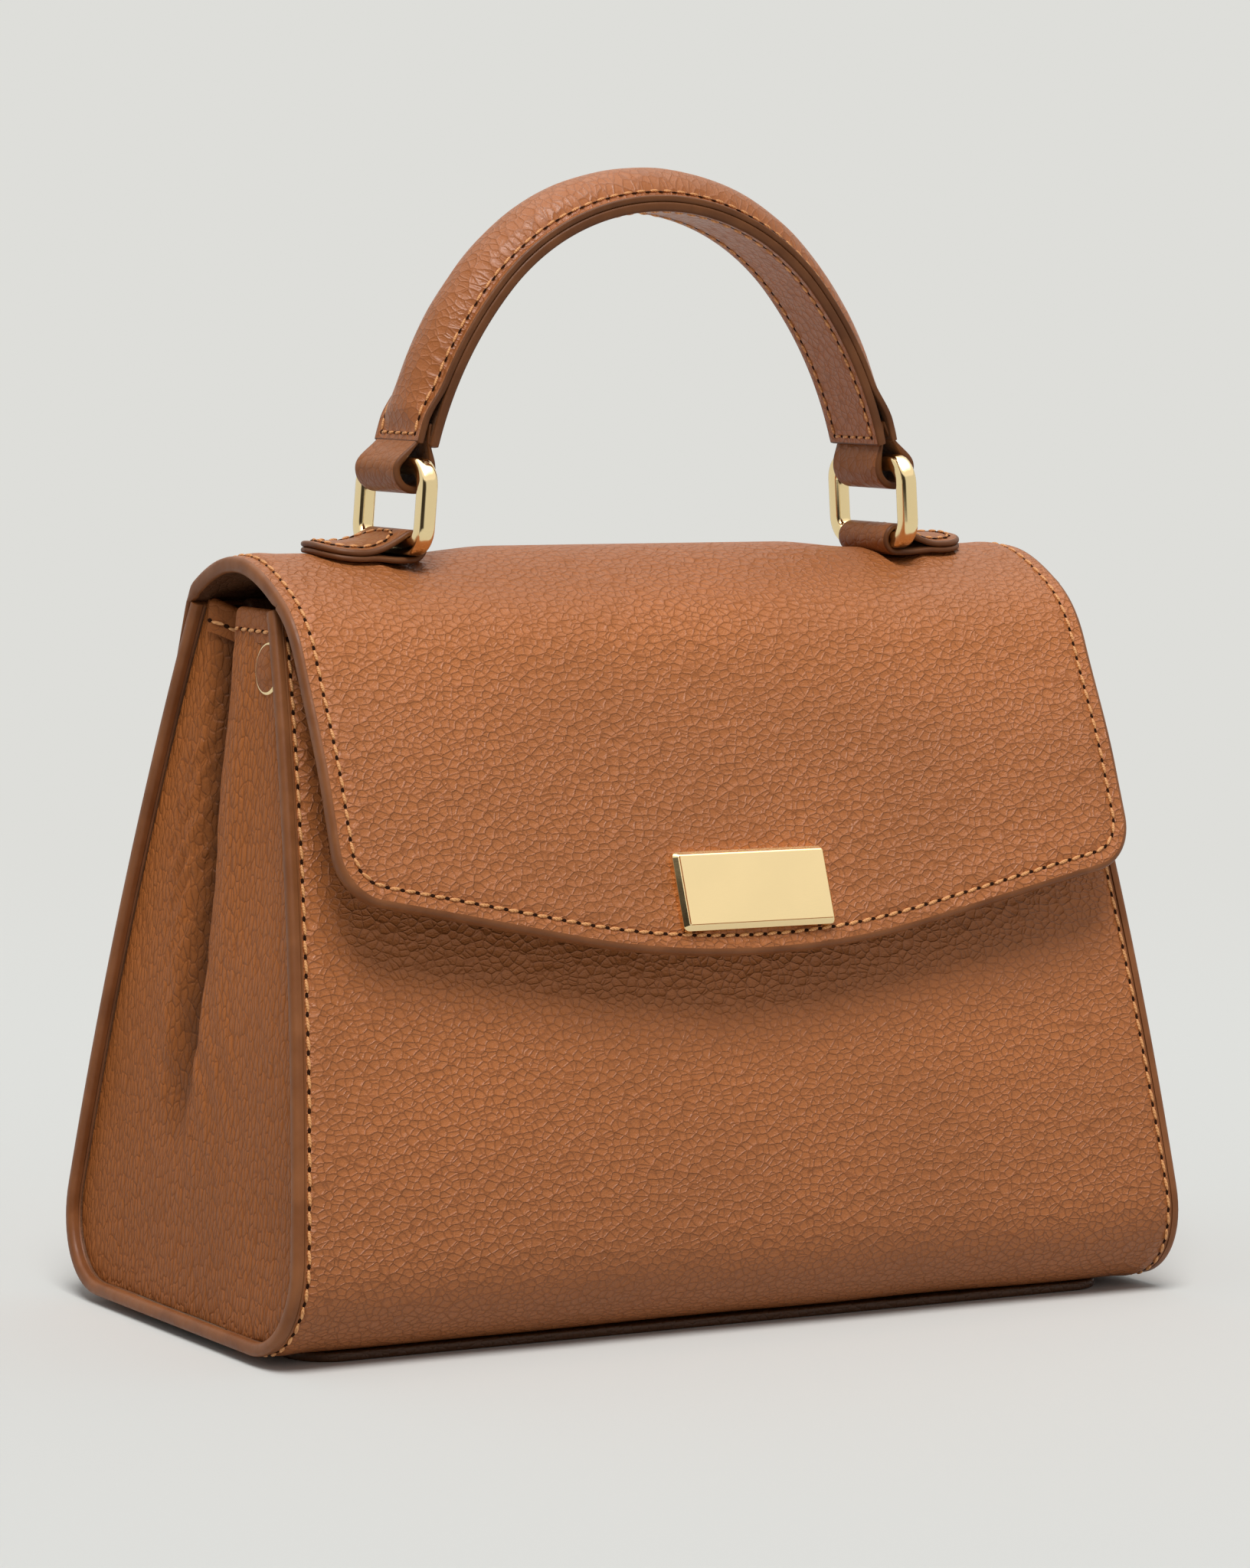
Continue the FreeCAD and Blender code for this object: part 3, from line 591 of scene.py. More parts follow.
def crumple(y, z):
    soft = 0.8 * noise.noise(Vector((y, z, 11.0)) / 26.0)
    drift = 2.6 * noise.noise(Vector((y, z, 3.0)) / 16.0)
    nearby = math.exp(-((y - 21.0) / 13.0) ** 2 - ((z - 120.0) / 38.0) ** 2)
    ripples = math.sin(0.8 * y + 0.6 * z + drift) + 0.5 * math.sin(1.3 * y + 1.1 * z - 2 * drift)
    low = math.exp(-((y - 4.0) / 30.0) ** 2 - ((z - 62.0) / 24.0) ** 2)
    full = 1.7 * math.exp(-((y + 5.0) / 7.5) ** 2) * smooth((z - 60.0) / 60.0)
    return soft + full + 0.6 * nearby * ripples + 0.35 * low * math.sin(0.5 * y - 0.32 * z + drift)


def gusset_edge(z):
    d = panel_thickness + gusset_gap
    if z > corner_z:
        return half_depth(z, d)
    drop = min(corner_z - z, corner_radius - d)
    return corner_y + math.sqrt((corner_radius - d) ** 2 - drop ** 2)


# Painted shade on the gussets: darker in the pleat behind the fold, beside the front welt, at the top under
# the flap, and towards the bottom.
def painted_fold_shade(y, z):
    shade = 1.0 - 0.86 * min(1.0, pleat(y, z) / 6.0) ** 0.8
    shade *= 1.0 - 0.5 * math.exp(-max(0.0, gusset_edge(z) + y) / 4.0)
    return shade * (1.0 - 0.35 * smooth((z - 178.0) / 13.0)) * (1.0 - 0.16 * smooth((100.0 - z) / 70.0))


def dip(y, z):
    pulled = 0.36 * pleat(y, z) * smooth((z - 150.0) / 40.0)
    return pulled + 1.2 * smooth((z - 165.0) / 26.0) * smooth((19.0 - y) / 8.0)


def along_binding(side, y, z, t):
    level = body_height - 2
    slope = (pleat(y + pleat_probe, level) - pleat(y - pleat_probe, level)) / (2 * pleat_probe)
    depth = pleat(y, min(z, body_height)) + gusset_thickness / 2
    x = half_width(z) - gusset_recess - depth - t / math.hypot(1, slope)
    return Vector((side * x, y - t * slope / math.hypot(1, slope), z - dip(y, body_height))) * mm


gusset_foot = sole_thickness + panel_thickness + gusset_gap
gusset_turn = [corner_z - (corner_z - gusset_foot) * math.cos(math.radians(7.5 * k)) for k in range(12)]
gusset_levels = gusset_turn + spread(corner_z, body_height, 120)
binding_end = half_depth(body_height, panel_thickness + binding_gap)
binding_top = bend(Vector((0.0, -binding_crown)), binding_half, math.pi, 0.0, 8)
binding_section = [(-binding_half, -binding_drop)] + [(p.x, p.y) for p in binding_top]
binding_section += [(binding_half, -binding_drop)]
seam_level, seam_reach = body_height - binding_seam, binding_end - 0.5
pleat_walk = [Vector((y, pleat(y, seam_level))) for y in spread(-seam_reach, seam_reach, 160)]
along_pleat, pleat_length = follow(pleat_walk, 1)
for name, side in both_sides:

    def lay(u, v, d):
        fade = min(1.0, (gusset_edge(v) - abs(u)) / 6.0) * min(1.0, (body_height - v) / 12.0)
        bulge = crumple(u, v + 7.0 * side) * max(0.0, fade)
        x = half_width(v) - gusset_recess - pleat(u, v) + bulge - d
        return Vector((side * x, u, v - dip(u, v))) * mm

    def cut(i, j):
        z = gusset_levels[j]
        return evenly(i, gusset_columns, gusset_edge(z) - gusset_round), z

    def on_binding(u, v, d):
        return along_binding(side, along_pleat(u, 0.0).x, v, d - binding_half)

    bm = leather_sheet(gusset_columns, len(gusset_levels) - 1, cut, lay, gusset_thickness, gusset_round,
                       shade=painted_fold_shade)
    gusset = piece(name + "_gusset", bm, soft_calf, soft_calf, flesh)
    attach(gusset, "body")
    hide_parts(name + "_gusset")

    rings = []
    for y in spread(-binding_end, binding_end, 96):
        rings.append([along_binding(side, y, body_height + h, t) for t, h in binding_section])
    binding = piece(name + "_gusset_binding", sweep(rings, False), bound_calf)
    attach(binding, "body")
    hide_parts(name + "_gusset_binding")

    bm = bmesh.new()
    sew(bm, [(0.0, seam_level), (pleat_length, seam_level)], on_binding, pitch=4.2)
    seam = piece(name + "_binding_stitching", bm, thread, needle_hole_shade)
    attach(seam, "body")


# Pleat studs: domed caps of pale gold, their faces covered in the gusset's leather so
# that only the rim shines, riveted through the front leaf into a washer inside.
wear, given, result = new_group(
    "handled_metal", [("Place", "NodeSocketVector", (0, 0, 0)), ("Polish", "NodeSocketFloat", 0.12)],
    [("Roughness", "NodeSocketFloat"), ("Height", "NodeSocketFloat")])
smears = noise_of(wear, given["Place"], 75.0, 5.0)
hairlines = {0: given["Place"], 1: (900.0, 160.0, 2600.0)}
hairlines = add_node(wear, "ShaderNodeVectorMath", hairlines, operation="MULTIPLY").outputs[0]
hairlines = noise_of(wear, hairlines, 1.0, 3.0)
rough = sum_of(wear, given["Polish"], ramp(wear, smears, 0.35, 0.7, -0.02, 0.07))
plug(wear, result, {"Roughness": rough, "Height": hairlines})


def metal(name, colour, polish):
    material, tree, skin = new_material(name)
    inputs = {"Place": object_place(tree), "Polish": polish}
    touch = add_node(tree, "ShaderNodeGroup", inputs, node_tree=wear).outputs
    plug(tree, skin, {"Base Color": (*colour, 1), "Metallic": 1.0, "Roughness": touch["Roughness"]})
    emboss(tree, skin, touch["Height"], 0.04, 0.0001)
    return material


gold = metal("pale_gold", (0.93, 0.73, 0.4), 0.11)
clasp_gold = metal("satin_gold", (0.78, 0.6, 0.33), 0.3)
stud_height, stud_inset, stud_cover = body_height - 15.5, 8.0, 6.2
stud_outline = [(0.0, 1.9), (3.0, 1.72), (5.2, 1.3), (stud_cover, 1.0), (6.5, 1.0), (6.85, 0.75), (7.0, 0.4),
                (6.8, 0.0), (0.0, 0.0)]
stud_y = stud_inset + panel_thickness - half_depth(stud_height)
stud_seat = Vector((half_width(stud_height) - gusset_recess, stud_y, stud_height)) * mm
side_lean = math.atan2(base_half_width - mouth_half_width, body_height)
for name, side in (("left_pleat_stud", -1), ("right_pleat_stud", 1)):
    bm = bmesh.new()
    verts = [bm.verts.new(Vector((r, 0, h)) * mm) for r, h in stud_outline]
    edges = [bm.edges.new(pair) for pair in zip(verts, verts[1:])]
    bmesh.ops.spin(bm, geom=verts + edges, cent=(0, 0, 0), axis=(0, 0, 1), dvec=(0, 0, 0), angle=2 * math.pi,
                   steps=40, use_merge=True, use_duplicate=False)
    bmesh.ops.remove_doubles(bm, verts=bm.verts, dist=1e-6)
    for face in bm.faces:
        middle = face.calc_center_median()
        face.material_index = 1 if middle.xy.length < stud_cover * mm and middle.z > 0.5 * mm else 0
    bmesh.ops.transform(bm, verts=bm.verts, matrix=Matrix.Rotation(math.pi / 2 - side_lean, 4, "Y"))
    bmesh.ops.translate(bm, verts=bm.verts, vec=stud_seat)
    bmesh.ops.scale(bm, verts=bm.verts, vec=(side, 1, 1))
    bmesh.ops.recalc_face_normals(bm, faces=bm.faces)
    stud = piece(name, bm, gold, bound_calf)
    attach(stud, "body")
    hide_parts(name)
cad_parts["pleat_stud_washers"].material_slots[0].material = clasp_gold


# Lining and facings: brown twill hangs inside from one leather facing to the other, and
# a rolled leather cord stiffens the back of the mouth.
twill, tree, skin = new_material("brown_twill")
bias = {"Vector": cut_place(tree), "Rotation": (0, 0, math.radians(38))}
bias = add_node(tree, "ShaderNodeMapping", bias).outputs[0]
ribs = {"Vector": bias, "Scale": 230.0, "Distortion": 0.6, "Detail": 1.0}
ribs = add_node(tree, "ShaderNodeTexWave", ribs).outputs["Fac"]
lint = times(tree, noise_of(tree, bias, 800.0, 4.0), 0.3)
tone = mix_colour(tree, ribs, (0.06, 0.03, 0.016, 1), (0.13, 0.068, 0.038, 1))
tone = mix_colour(tree, lint, tone, (0.17, 0.1, 0.06, 1))
plug(tree, skin, {"Base Color": tone, "Roughness": 0.85})
emboss(tree, skin, ribs, 0.5, 0.0003)

facing_height, facing_thickness, facing_round, facing_gap = 26.0, 1.2, 0.4, 1.5
facing_columns, facing_rows = 80, 14
lining_thickness, lining_gap, lining_round, lining_play, lining_below = 1.0, 0.6, 0.3, 0.1, 0.78
lining_columns, lining_rows = 60, 150
lining_out = panel_thickness + lining_play
lining_start = facing_height + lining_below
facing_half = half_width(body_height) - gusset_recess - gusset_thickness - facing_gap


def lay_lining(u, v, d):
    slack = 0.5 * noise.noise(Vector((u, v, 7.0)) / 34.0)
    facing = 1 if v < wall_length else -1
    spot = wall(v if facing > 0 else 2 * wall_length - v, lining_out + d + max(0.0, slack))
    return Vector((u, facing * spot.x, spot.y)) * mm


def cut_lining(i, j):
    v = lining_start + 2 * (wall_length - lining_start) * j / lining_rows
    level = wall(v if v < wall_length else 2 * wall_length - v, lining_out).y
    return evenly(i, lining_columns, half_width(level) - gusset_recess - gusset_thickness - lining_gap), v


bm = leather_sheet(lining_columns, lining_rows, cut_lining, lay_lining, lining_thickness, lining_round)
lining = piece("lining", bm, twill, twill, twill)
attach(lining, "body")
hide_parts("lining")

# Painted shade: the facings and the mouth roll are coloured near black for the shade inside the mouth under
# the flap.
facing_calf_painted_shade = leather("facing_calf_painted_shade", (0.08, 0.03, 0.012), (0.04, 0.014, 0.005), cells=380.0, depth=0.4,
                      gloss=0.5)
for name, facing in (("front_mouth_facing", -1), ("back_mouth_facing", 1)):

    def lay(u, v, d):
        spot = wall(v, lining_out + facing_thickness - d)
        return Vector((u, facing * spot.x, spot.y)) * mm

    def cut(i, j):
        v = facing_round + (facing_height - 2 * facing_round) * j / facing_rows
        return evenly(i, facing_columns, facing_half), v

    bm = leather_sheet(facing_columns, facing_rows, cut, lay, facing_thickness, facing_round)
    strip = piece(name, bm, facing_calf_painted_shade, facing_calf_painted_shade, facing_calf_painted_shade)
    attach(strip, "body")
    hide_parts(name)

roll_radius, roll_drop, roll_gap, roll_edge = 3.0, 1.2, 0.1, 1.0
roll_out = lining_out + facing_thickness
roll_reach = side_radius - roll_out - roll_radius - roll_gap
roll_angle = side_angle(body_height - roll_drop, roll_out)
roll_y = side_centre.x + roll_reach * math.cos(roll_angle)
roll_z = side_centre.y + roll_reach * math.sin(roll_angle)
roll_half = mouth_half_width - gusset_recess - gusset_thickness - pleat_depth / 2
bm = bmesh.new()
bmesh.ops.create_cone(bm, cap_ends=True, segments=28, radius1=roll_radius * mm, radius2=roll_radius * mm,
                      depth=2 * roll_half * mm, matrix=Matrix.Rotation(math.pi / 2, 4, "Y"))
ends = [e for e in bm.edges if abs(e.verts[0].co.x - e.verts[1].co.x) < 1e-6]
bevel(bm, ends, roll_edge, 4)
bmesh.ops.translate(bm, verts=bm.verts, vec=Vector((0, roll_y, roll_z)) * mm)
roll = piece("mouth_roll", bm, facing_calf_painted_shade)
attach(roll, "body")
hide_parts("mouth_roll")


# Flap: one piece of the tan calf, lined with brown leather, from the band sewn to the
# back, over the rolled crown, to the pointed front edge. Its edge is painted and sewn round.
flap_half_width, flap_thickness = 120.8, 4.2
anchor_height, anchor_thickness, crease_lift = 28.0, 1.4, 2.2
rear_radius, rear_turn, crown_radius, shoulder_bend = 6.0, math.radians(42.2), 54.0, 30.0
fall_flare, clasp_gap = math.radians(4.5), 10.0
flap_corner_z, flap_tip_drop = body_height - 71.5, 23.2
flap_tip_z = flap_corner_z - flap_tip_drop
flap_corner_round, flap_tip_round = 14.0, 280.0
clasp_z = flap_tip_z + 16.1
fall_lean = side_angle(clasp_z) + fall_flare
crease_angle = side_angle(body_height + crease_lift, -anchor_thickness)


def heading(angle):
    return Vector((math.cos(angle), math.sin(angle)))


crease = side_centre + heading(crease_angle) * (side_radius + anchor_thickness)
rear_centre = crease - heading(crease_angle) * rear_radius
crown_start = crease_angle + rear_turn
crown_centre = rear_centre - heading(crown_start) * (crown_radius - rear_radius)
fall_angle = math.pi - fall_lean
clasp_seat = Vector((-half_depth(clasp_z), clasp_z))
fall_point = clasp_seat + heading(fall_angle) * (clasp_gap + flap_thickness)
bend_reach = heading(fall_angle).dot(fall_point - crown_centre) - shoulder_bend
crown_end = fall_angle - math.acos(bend_reach / (crown_radius - shoulder_bend))
bend_centre = crown_centre + heading(crown_end) * (crown_radius - shoulder_bend)
crown_top = crown_centre.y + crown_radius

anchor_angle = side_angle(body_height - anchor_height)
flap_line = bend(side_centre, side_radius + anchor_thickness, anchor_angle, crease_angle, 24)
anchor_end = (crease_angle - anchor_angle) * (side_radius + anchor_thickness)
flap_line += bend(rear_centre, rear_radius, crease_angle, crown_start, 24)
flap_line += bend(crown_centre, crown_radius, crown_start, crown_end, 60)
flap_line += bend(bend_centre, shoulder_bend, crown_end, fall_angle, 30)
over_crown, fall_start = follow(flap_line, -1)
crown_middle = min(range(int(fall_start)), key=lambda v: -over_crown(v, 0.0).y)
fall_top, fall_reach = flap_line[-1], 150.0
flap_line += [fall_top + heading(fall_angle + math.pi / 2) * fall_reach]
over_crown, _ = follow(flap_line, -1)
slope = math.atan2(flap_tip_drop, flap_half_width)
corner_x = flap_half_width - flap_corner_round
corner_centre_z = flap_tip_z + math.tan(slope) * corner_x + flap_corner_round / math.cos(slope)
tip_centre_z = flap_tip_z + flap_tip_round / math.cos(slope)


def fall_end(x, inset):
    x = abs(x)
    if x <= (flap_tip_round - inset) * math.sin(slope):
        z = tip_centre_z - math.sqrt((flap_tip_round - inset) ** 2 - x ** 2)
    elif x <= corner_x + (flap_corner_round - inset) * math.sin(slope):
        z = flap_tip_z + math.tan(slope) * x + inset / math.cos(slope)
    else:
        z = corner_centre_z - math.sqrt(max(0.0, (flap_corner_round - inset) ** 2 - (x - corner_x) ** 2))
    return fall_start + (fall_top.y - z) / math.cos(fall_lean)


def flap_edge(x, v):
    x, z = abs(x), fall_top.y - (v - fall_start) * math.cos(fall_lean)
    if v < fall_start:
        return flap_half_width - x
    if x > corner_x and z < corner_centre_z:
        return flap_corner_round - math.hypot(x - corner_x, corner_centre_z - z)
    low = (z - flap_tip_z - math.tan(slope) * x) * math.cos(slope)
    if x < flap_tip_round * math.sin(slope):
        low = min(low, flap_tip_round - math.hypot(x, tip_centre_z - z))
    return min(flap_half_width - x, low)


flap_round, flap_seam, flap_seam_start, flap_seam_step = 1.4, 4.7, 38.0, 2.0
anchor_seam_drop, anchor_seam_end = 5.0, 30.0
turn_start, turn_reach = 92.0, flap_corner_round - flap_round
middle_reach = corner_x + turn_reach * math.sin(slope)
flap_columns = [2.4 * k for k in range(1, 28)]
flap_columns += [66.0 + 0.8 * k for k in range(14)]
flap_columns += [78.0 + 2.0 * k for k in range(7)]
flap_columns += spread(turn_start, middle_reach, 8)
flap_columns += [corner_x + turn_reach * math.sin(a) for a in spread(slope, math.pi / 2, 12)[1:]]
flap_columns = [-x for x in reversed(flap_columns)] + [0.0] + flap_columns
over_rows = spread(flap_round, fall_start, 66)
fall_rows = [t / 50.0 for t in range(1, 43)]
fall_rows += [0.862, 0.88, 0.896, 0.91, 0.923, 0.934, 0.944, 0.954, 0.964, 0.976, 0.988, 1.0]


def cut_flap(i, j):
    x = flap_columns[i]
    if j < len(over_rows):
        return x, over_rows[j]
    return x, fall_start + fall_rows[j - len(over_rows)] * (fall_end(x, flap_round) - fall_start)


crown_swell, swell_reach, fall_swell = 3.6, 30.0, 3.6
flap_wave, flap_wave_length = 0.5, 50.0
fold_x, fold_outside, fold_lift = 75.1, 4.4, 4.1
tab_lift, tab_lift_start, tab_lift_run, tab_sink = 2.4, 77.0, 11.0, 0.15
seat_half, seat_shift, seat_start, seat_end = 18.5, 2.5, 70.7, 100.0


def tab_rise(x):
    return tab_lift * smooth((x - tab_lift_start) / tab_lift_run)


def crown_fill(u, v):
    x = abs(u)
    under_tab = 0.36 * smooth((x - 76.0) / 12.0)
    near_tab = 0.5 * smooth((x - 44.0) / 26.0) * smooth((88.0 - x) / 12.0)
    end = 0.5 * smooth((x - 104.0) / 16.0)
    hump = math.cos(min(1.0, abs(v - crown_middle) / swell_reach) * math.pi / 2) ** 2
    fill = crown_swell * hump * (1.0 - max(near_tab, under_tab, end))
    if not seat_start < x < seat_end:
        return fill
    if x < fold_x:
        room = fold_lift - math.sqrt(max(0.0, fold_outside ** 2 - (fold_x - x) ** 2))
    else:
        room = tab_rise(x) - tab_sink
    return fill + min(0.0, room - fill) * smooth((seat_half - abs(v - crown_middle - seat_shift)) / 6.0)


def lay_flap(u, v, d):
    wave = flap_wave * noise.noise(Vector((u, v, 90.0)) / flap_wave_length) * smooth((v - 60.0) / 30.0)
    wave += fall_swell * smooth((abs(u) - 30.0) / 80.0) * smooth((v - crown_middle - 40.0) / 45.0)
    fill = crown_fill(u, v) * (1.0 - smooth((116.0 - abs(u)) / 10.0) * min(1.0, max(0.0, d / flap_thickness)))
    skived = anchor_thickness / flap_thickness
    d *= skived + (1.0 - skived) * smooth((v - anchor_end + 3.0) / 3.5)
    spot = over_crown(v, d - wave - fill)
    return Vector((u, spot.x, spot.y)) * mm


def flap_channel(u, v):
    edge = flap_edge(u, v)
    puff = 0.3 * math.exp(-((edge - 8.5) / 3.2) ** 2)
    return channel_at(edge - flap_seam) + channel_at(v - anchor_seam_drop) - puff


# Painted highlight: the flap colour is lighter in a band across the shoulder, where the sheen falls, and a
# little darker elsewhere.
def painted_shoulder_sheen(u, v):
    return 0.95 + 0.2 * math.exp(-((v - crown_middle - 44.0) / 20.0) ** 2)


flap_lining = leather("flap_lining", (0.11, 0.042, 0.017), (0.06, 0.022, 0.008), cells=400.0, depth=0.35,
                      gloss=0.5)
bm = leather_sheet(len(flap_columns) - 1, len(over_rows) + len(fall_rows) - 1, cut_flap, lay_flap,
                   flap_thickness, flap_round, flap_channel, painted_shoulder_sheen)
flap = piece("flap", bm, calf, paint, flap_lining)
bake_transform(flap)
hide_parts("flap_anchor", "flap_outer", "flap_lining")

seam_x = flap_half_width - flap_seam
seam_count = int((fall_end(seam_x, flap_seam) - flap_seam_start) / flap_seam_step) + 1
seam_path = [(-seam_x, flap_seam_start + flap_seam_step * k) for k in range(seam_count)]
seam_turn = reversed(spread(slope, math.pi / 2, 14)[:-1])
seam_bottom = [corner_x + (flap_corner_round - flap_seam) * math.sin(a) for a in seam_turn]
seam_bottom += spread(seam_bottom[-1], 0.0, 40)[1:]
seam_path += [(-x, fall_end(x, flap_seam)) for x in seam_bottom]
seam_path += [(-x, v) for x, v in reversed(seam_path[:-1])]
anchor_seam = [(-seam_x, anchor_seam_end), (-seam_x, anchor_seam_drop)]
anchor_seam += [(-x, v) for x, v in reversed(anchor_seam)]
on_seam = in_channel(lay_flap, flap_channel)
bm = bmesh.new()
sew(bm, seam_path, on_seam, pitch=4.3)
sew(bm, anchor_seam, on_seam)
flap_stitching = piece("flap_stitching", bm, thread, needle_hole_shade)
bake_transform(flap_stitching)


# Clasp: a plain bevelled plate of polished pale gold, riveted to the flap above its point.
# Behind it a magnetic stud drops over the socket that is fixed to the front panel.
plate_width, plate_height, plate_thickness = 46.4, 21.4, 3.4
plate_corner, plate_bevel, plate_crisp = 1.6, 1.2, 0.14
step_width, step_rise, face_border = 0.16, 0.34, 0.08
plate_at = Matrix.Translation(Vector((0, fall_point.x, fall_point.y)) * mm)
plate_at = plate_at @ Matrix.Rotation(math.pi / 2 - fall_lean, 4, "X")
bm = slab(plate_width, plate_height, plate_thickness, plate_corner, 6)
front = [e for e in bm.edges if min(v.co.z for v in e.verts) > (plate_thickness - 0.01) * mm]
bevel(bm, front, plate_bevel, 1)
crisp = [e for e in bm.edges if e.calc_face_angle(0.0) > math.radians(30)]
bevel(bm, crisp, plate_crisp, 2)
face = [f for f in bm.faces if f.normal.z > 0.99 and f.calc_area() > 100 * mm * mm]
bmesh.ops.inset_region(bm, faces=face, thickness=step_width * mm, depth=step_rise * mm, use_even_offset=True)
broad = [f for f in bm.faces if f.calc_area() > 8 * mm * mm]
bmesh.ops.inset_individual(bm, faces=broad, thickness=face_border * mm, use_even_offset=True)
bmesh.ops.transform(bm, verts=bm.verts, matrix=plate_at)
plate = piece("clasp_plate", bm, gold)
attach(plate, "flap")
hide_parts("clasp_plate")
for node in ("clasp_plate_rivets", "clasp_stud", "clasp_socket", "clasp_socket_washer"):
    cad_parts[node].material_slots[0].material = clasp_gold


# Rings: square pale gold wire with rounded edges, bent to a rectangle and brazed shut.
# Each leans a little inward, held in a tab below and in the handle's loop above.
carry_y = -4.0
ring_height, ring_depth, ring_corner, ring_lean = 21.0, 35.0, 5.5, math.radians(4.0)
wire_radius, wire_scale, wire_points = 2.5, 0.97, 28
handle_top_radius, handle_top_turn = 73.0, math.radians(49.5)
handle_leg_radius, handle_leg_turn = 115.5, math.radians(26.0)
handle_thickness, strap_thickness, flange_thickness, core_height = 11.8, 2.6, 1.8, 7.4
loop_leather, loop_bore, neck_run, neck_bend = 2.0, 4.25, 1.0, math.radians(13.0)
eye_play_x, eye_play_z = 0.75, 1.0
end_turn = handle_top_turn + handle_leg_turn
tongue_radius = handle_leg_radius - handle_thickness + strap_thickness + core_height / 2


def outward(turn):
    return Vector((math.sin(turn), math.cos(turn)))


def onward(turn):
    return Vector((math.cos(turn), -math.sin(turn)))


leg_reach = handle_leg_radius - handle_top_radius
eye_radius = loop_bore + loop_leather
eye_from_arch = outward(end_turn) * tongue_radius - outward(handle_top_turn) * leg_reach
eye_from_arch += onward(end_turn + neck_bend) * (eye_radius + neck_run)
tab_layer, tab_gap = 1.6, 0.3
fold_radius = wire_radius + tab_gap + tab_layer
top_bar_x = eye_from_arch.x - eye_play_x
bar_x = top_bar_x + ring_height * math.sin(ring_lean)
bar_z = crown_top + fold_radius
top_bar_z = bar_z + ring_height * math.cos(ring_lean)
ring_path = []
for k, (y, z) in enumerate(((1, 1), (-1, 1), (-1, 0), (1, 0))):
    centre = Vector((y * (ring_depth / 2 - ring_corner), ring_corner + z * (ring_height - 2 * ring_corner)))
    ring_path += [(centre, a) for a in [math.pi / 2 * (k + n / 10) for n in range(11)]]
for name, side in both_sides:
    rings = []
    for centre, a in ring_path:
        ring = []
        for n in range(wire_points):
            turn = 2 * math.pi * n / wire_points
            flat = wire_radius * wire_scale / (math.cos(turn) ** 4 + math.sin(turn) ** 4) ** (1 / 4)
            spot = centre + heading(a) * (ring_corner + flat * math.cos(turn))
            off = flat * math.sin(turn)
            x = bar_x - spot.y * math.sin(ring_lean) + off * math.cos(ring_lean)
            z = bar_z + spot.y * math.cos(ring_lean) + off * math.sin(ring_lean)
            ring.append(Vector((side * x, spot.x + carry_y, z)) * mm)
        rings.append(ring)
    ring = piece(name + "_ring", sweep(rings, True), gold)
    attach(ring, "ring_" + name)
    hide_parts(name + "_ring")


# Tabs: a strap of the tan calf folded round the lower bar of each ring, its two round ends
# laid on each other on the crown, painted along the edge and sewn down all round.
tab_half, tab_reach, tab_run, tab_round, tab_edge_round = 12.25, 24.6, 11.0, 10.0, 0.8
tab_seam, tab_seam_end, tab_seam_reach, tab_columns = 3.0, 16.5, 22.0, 24
tab_calf = leather("tab_calf", (0.29, 0.097, 0.026), (0.16, 0.047, 0.012), cells=420.0, depth=0.4,
                   gloss=0.42, cut=True, shine=0.2)


def ease(begin, leave, arrive, end, steps):
    return [p.xy for p in geometry.interpolate_bezier(begin, leave, arrive, end, steps)]


def rows_between(ends, length, count):
    middle = [ends[-1] + (length - 2 * ends[-1]) * k / count for k in range(1, count)]
    return ends + middle + [length - e for e in reversed(ends)]


tab_top = crown_top + 2 * tab_layer
bar = Vector((bar_x, bar_z))
foot = Vector((bar_x + tab_run, tab_top))
foot_end = foot + Vector((2.0, 0.0))
touch_angle = math.atan2(tab_top - bar_z, tab_run) + math.acos(fold_radius / (foot - bar).length)
touch = bar + heading(touch_angle) * fold_radius
tab_line = [Vector((bar_x + tab_reach, tab_top)), foot_end]
tab_line += ease(foot_end, foot - Vector((1.5, 0.0)), touch.lerp(foot, 0.45), touch, 14)[1:]
tab_line += bend(bar, fold_radius, touch_angle, 1.5 * math.pi, 30)
tab_line += [Vector((bar_x + tab_reach, crown_top))]
on_tab, tab_length = follow(tab_line, -1)
tab_ends = [0.0, 0.15, 0.5, 1.1, 1.9, 2.8, 3.8, 5.0, 6.5, 8.0, 9.5]
tab_rows = rows_between(tab_ends, tab_length - 2 * tab_edge_round, 50)


def tab_half_at(v, inset):
    end = min(v, tab_length - v)
    corner = tab_round - inset
    if end < tab_round:
        return tab_half - tab_round + math.sqrt(max(0.0, corner ** 2 - (tab_round - max(end, inset)) ** 2))
    return tab_half - inset


def cut_tab(i, j):
    v = tab_edge_round + tab_rows[j]
    return evenly(i, tab_columns, tab_half_at(v, tab_edge_round)), v


def tab_edge(u, v):
    if v < tab_round and abs(u) > tab_half - tab_round:
        return tab_round - math.hypot(abs(u) - tab_half + tab_round, tab_round - v)
    return min(tab_half - abs(u), v)


def tab_channel(u, v):
    return channel_at(tab_edge(u, v) - tab_seam, 0.2, 0.8) if v < tab_seam_reach else 0.0


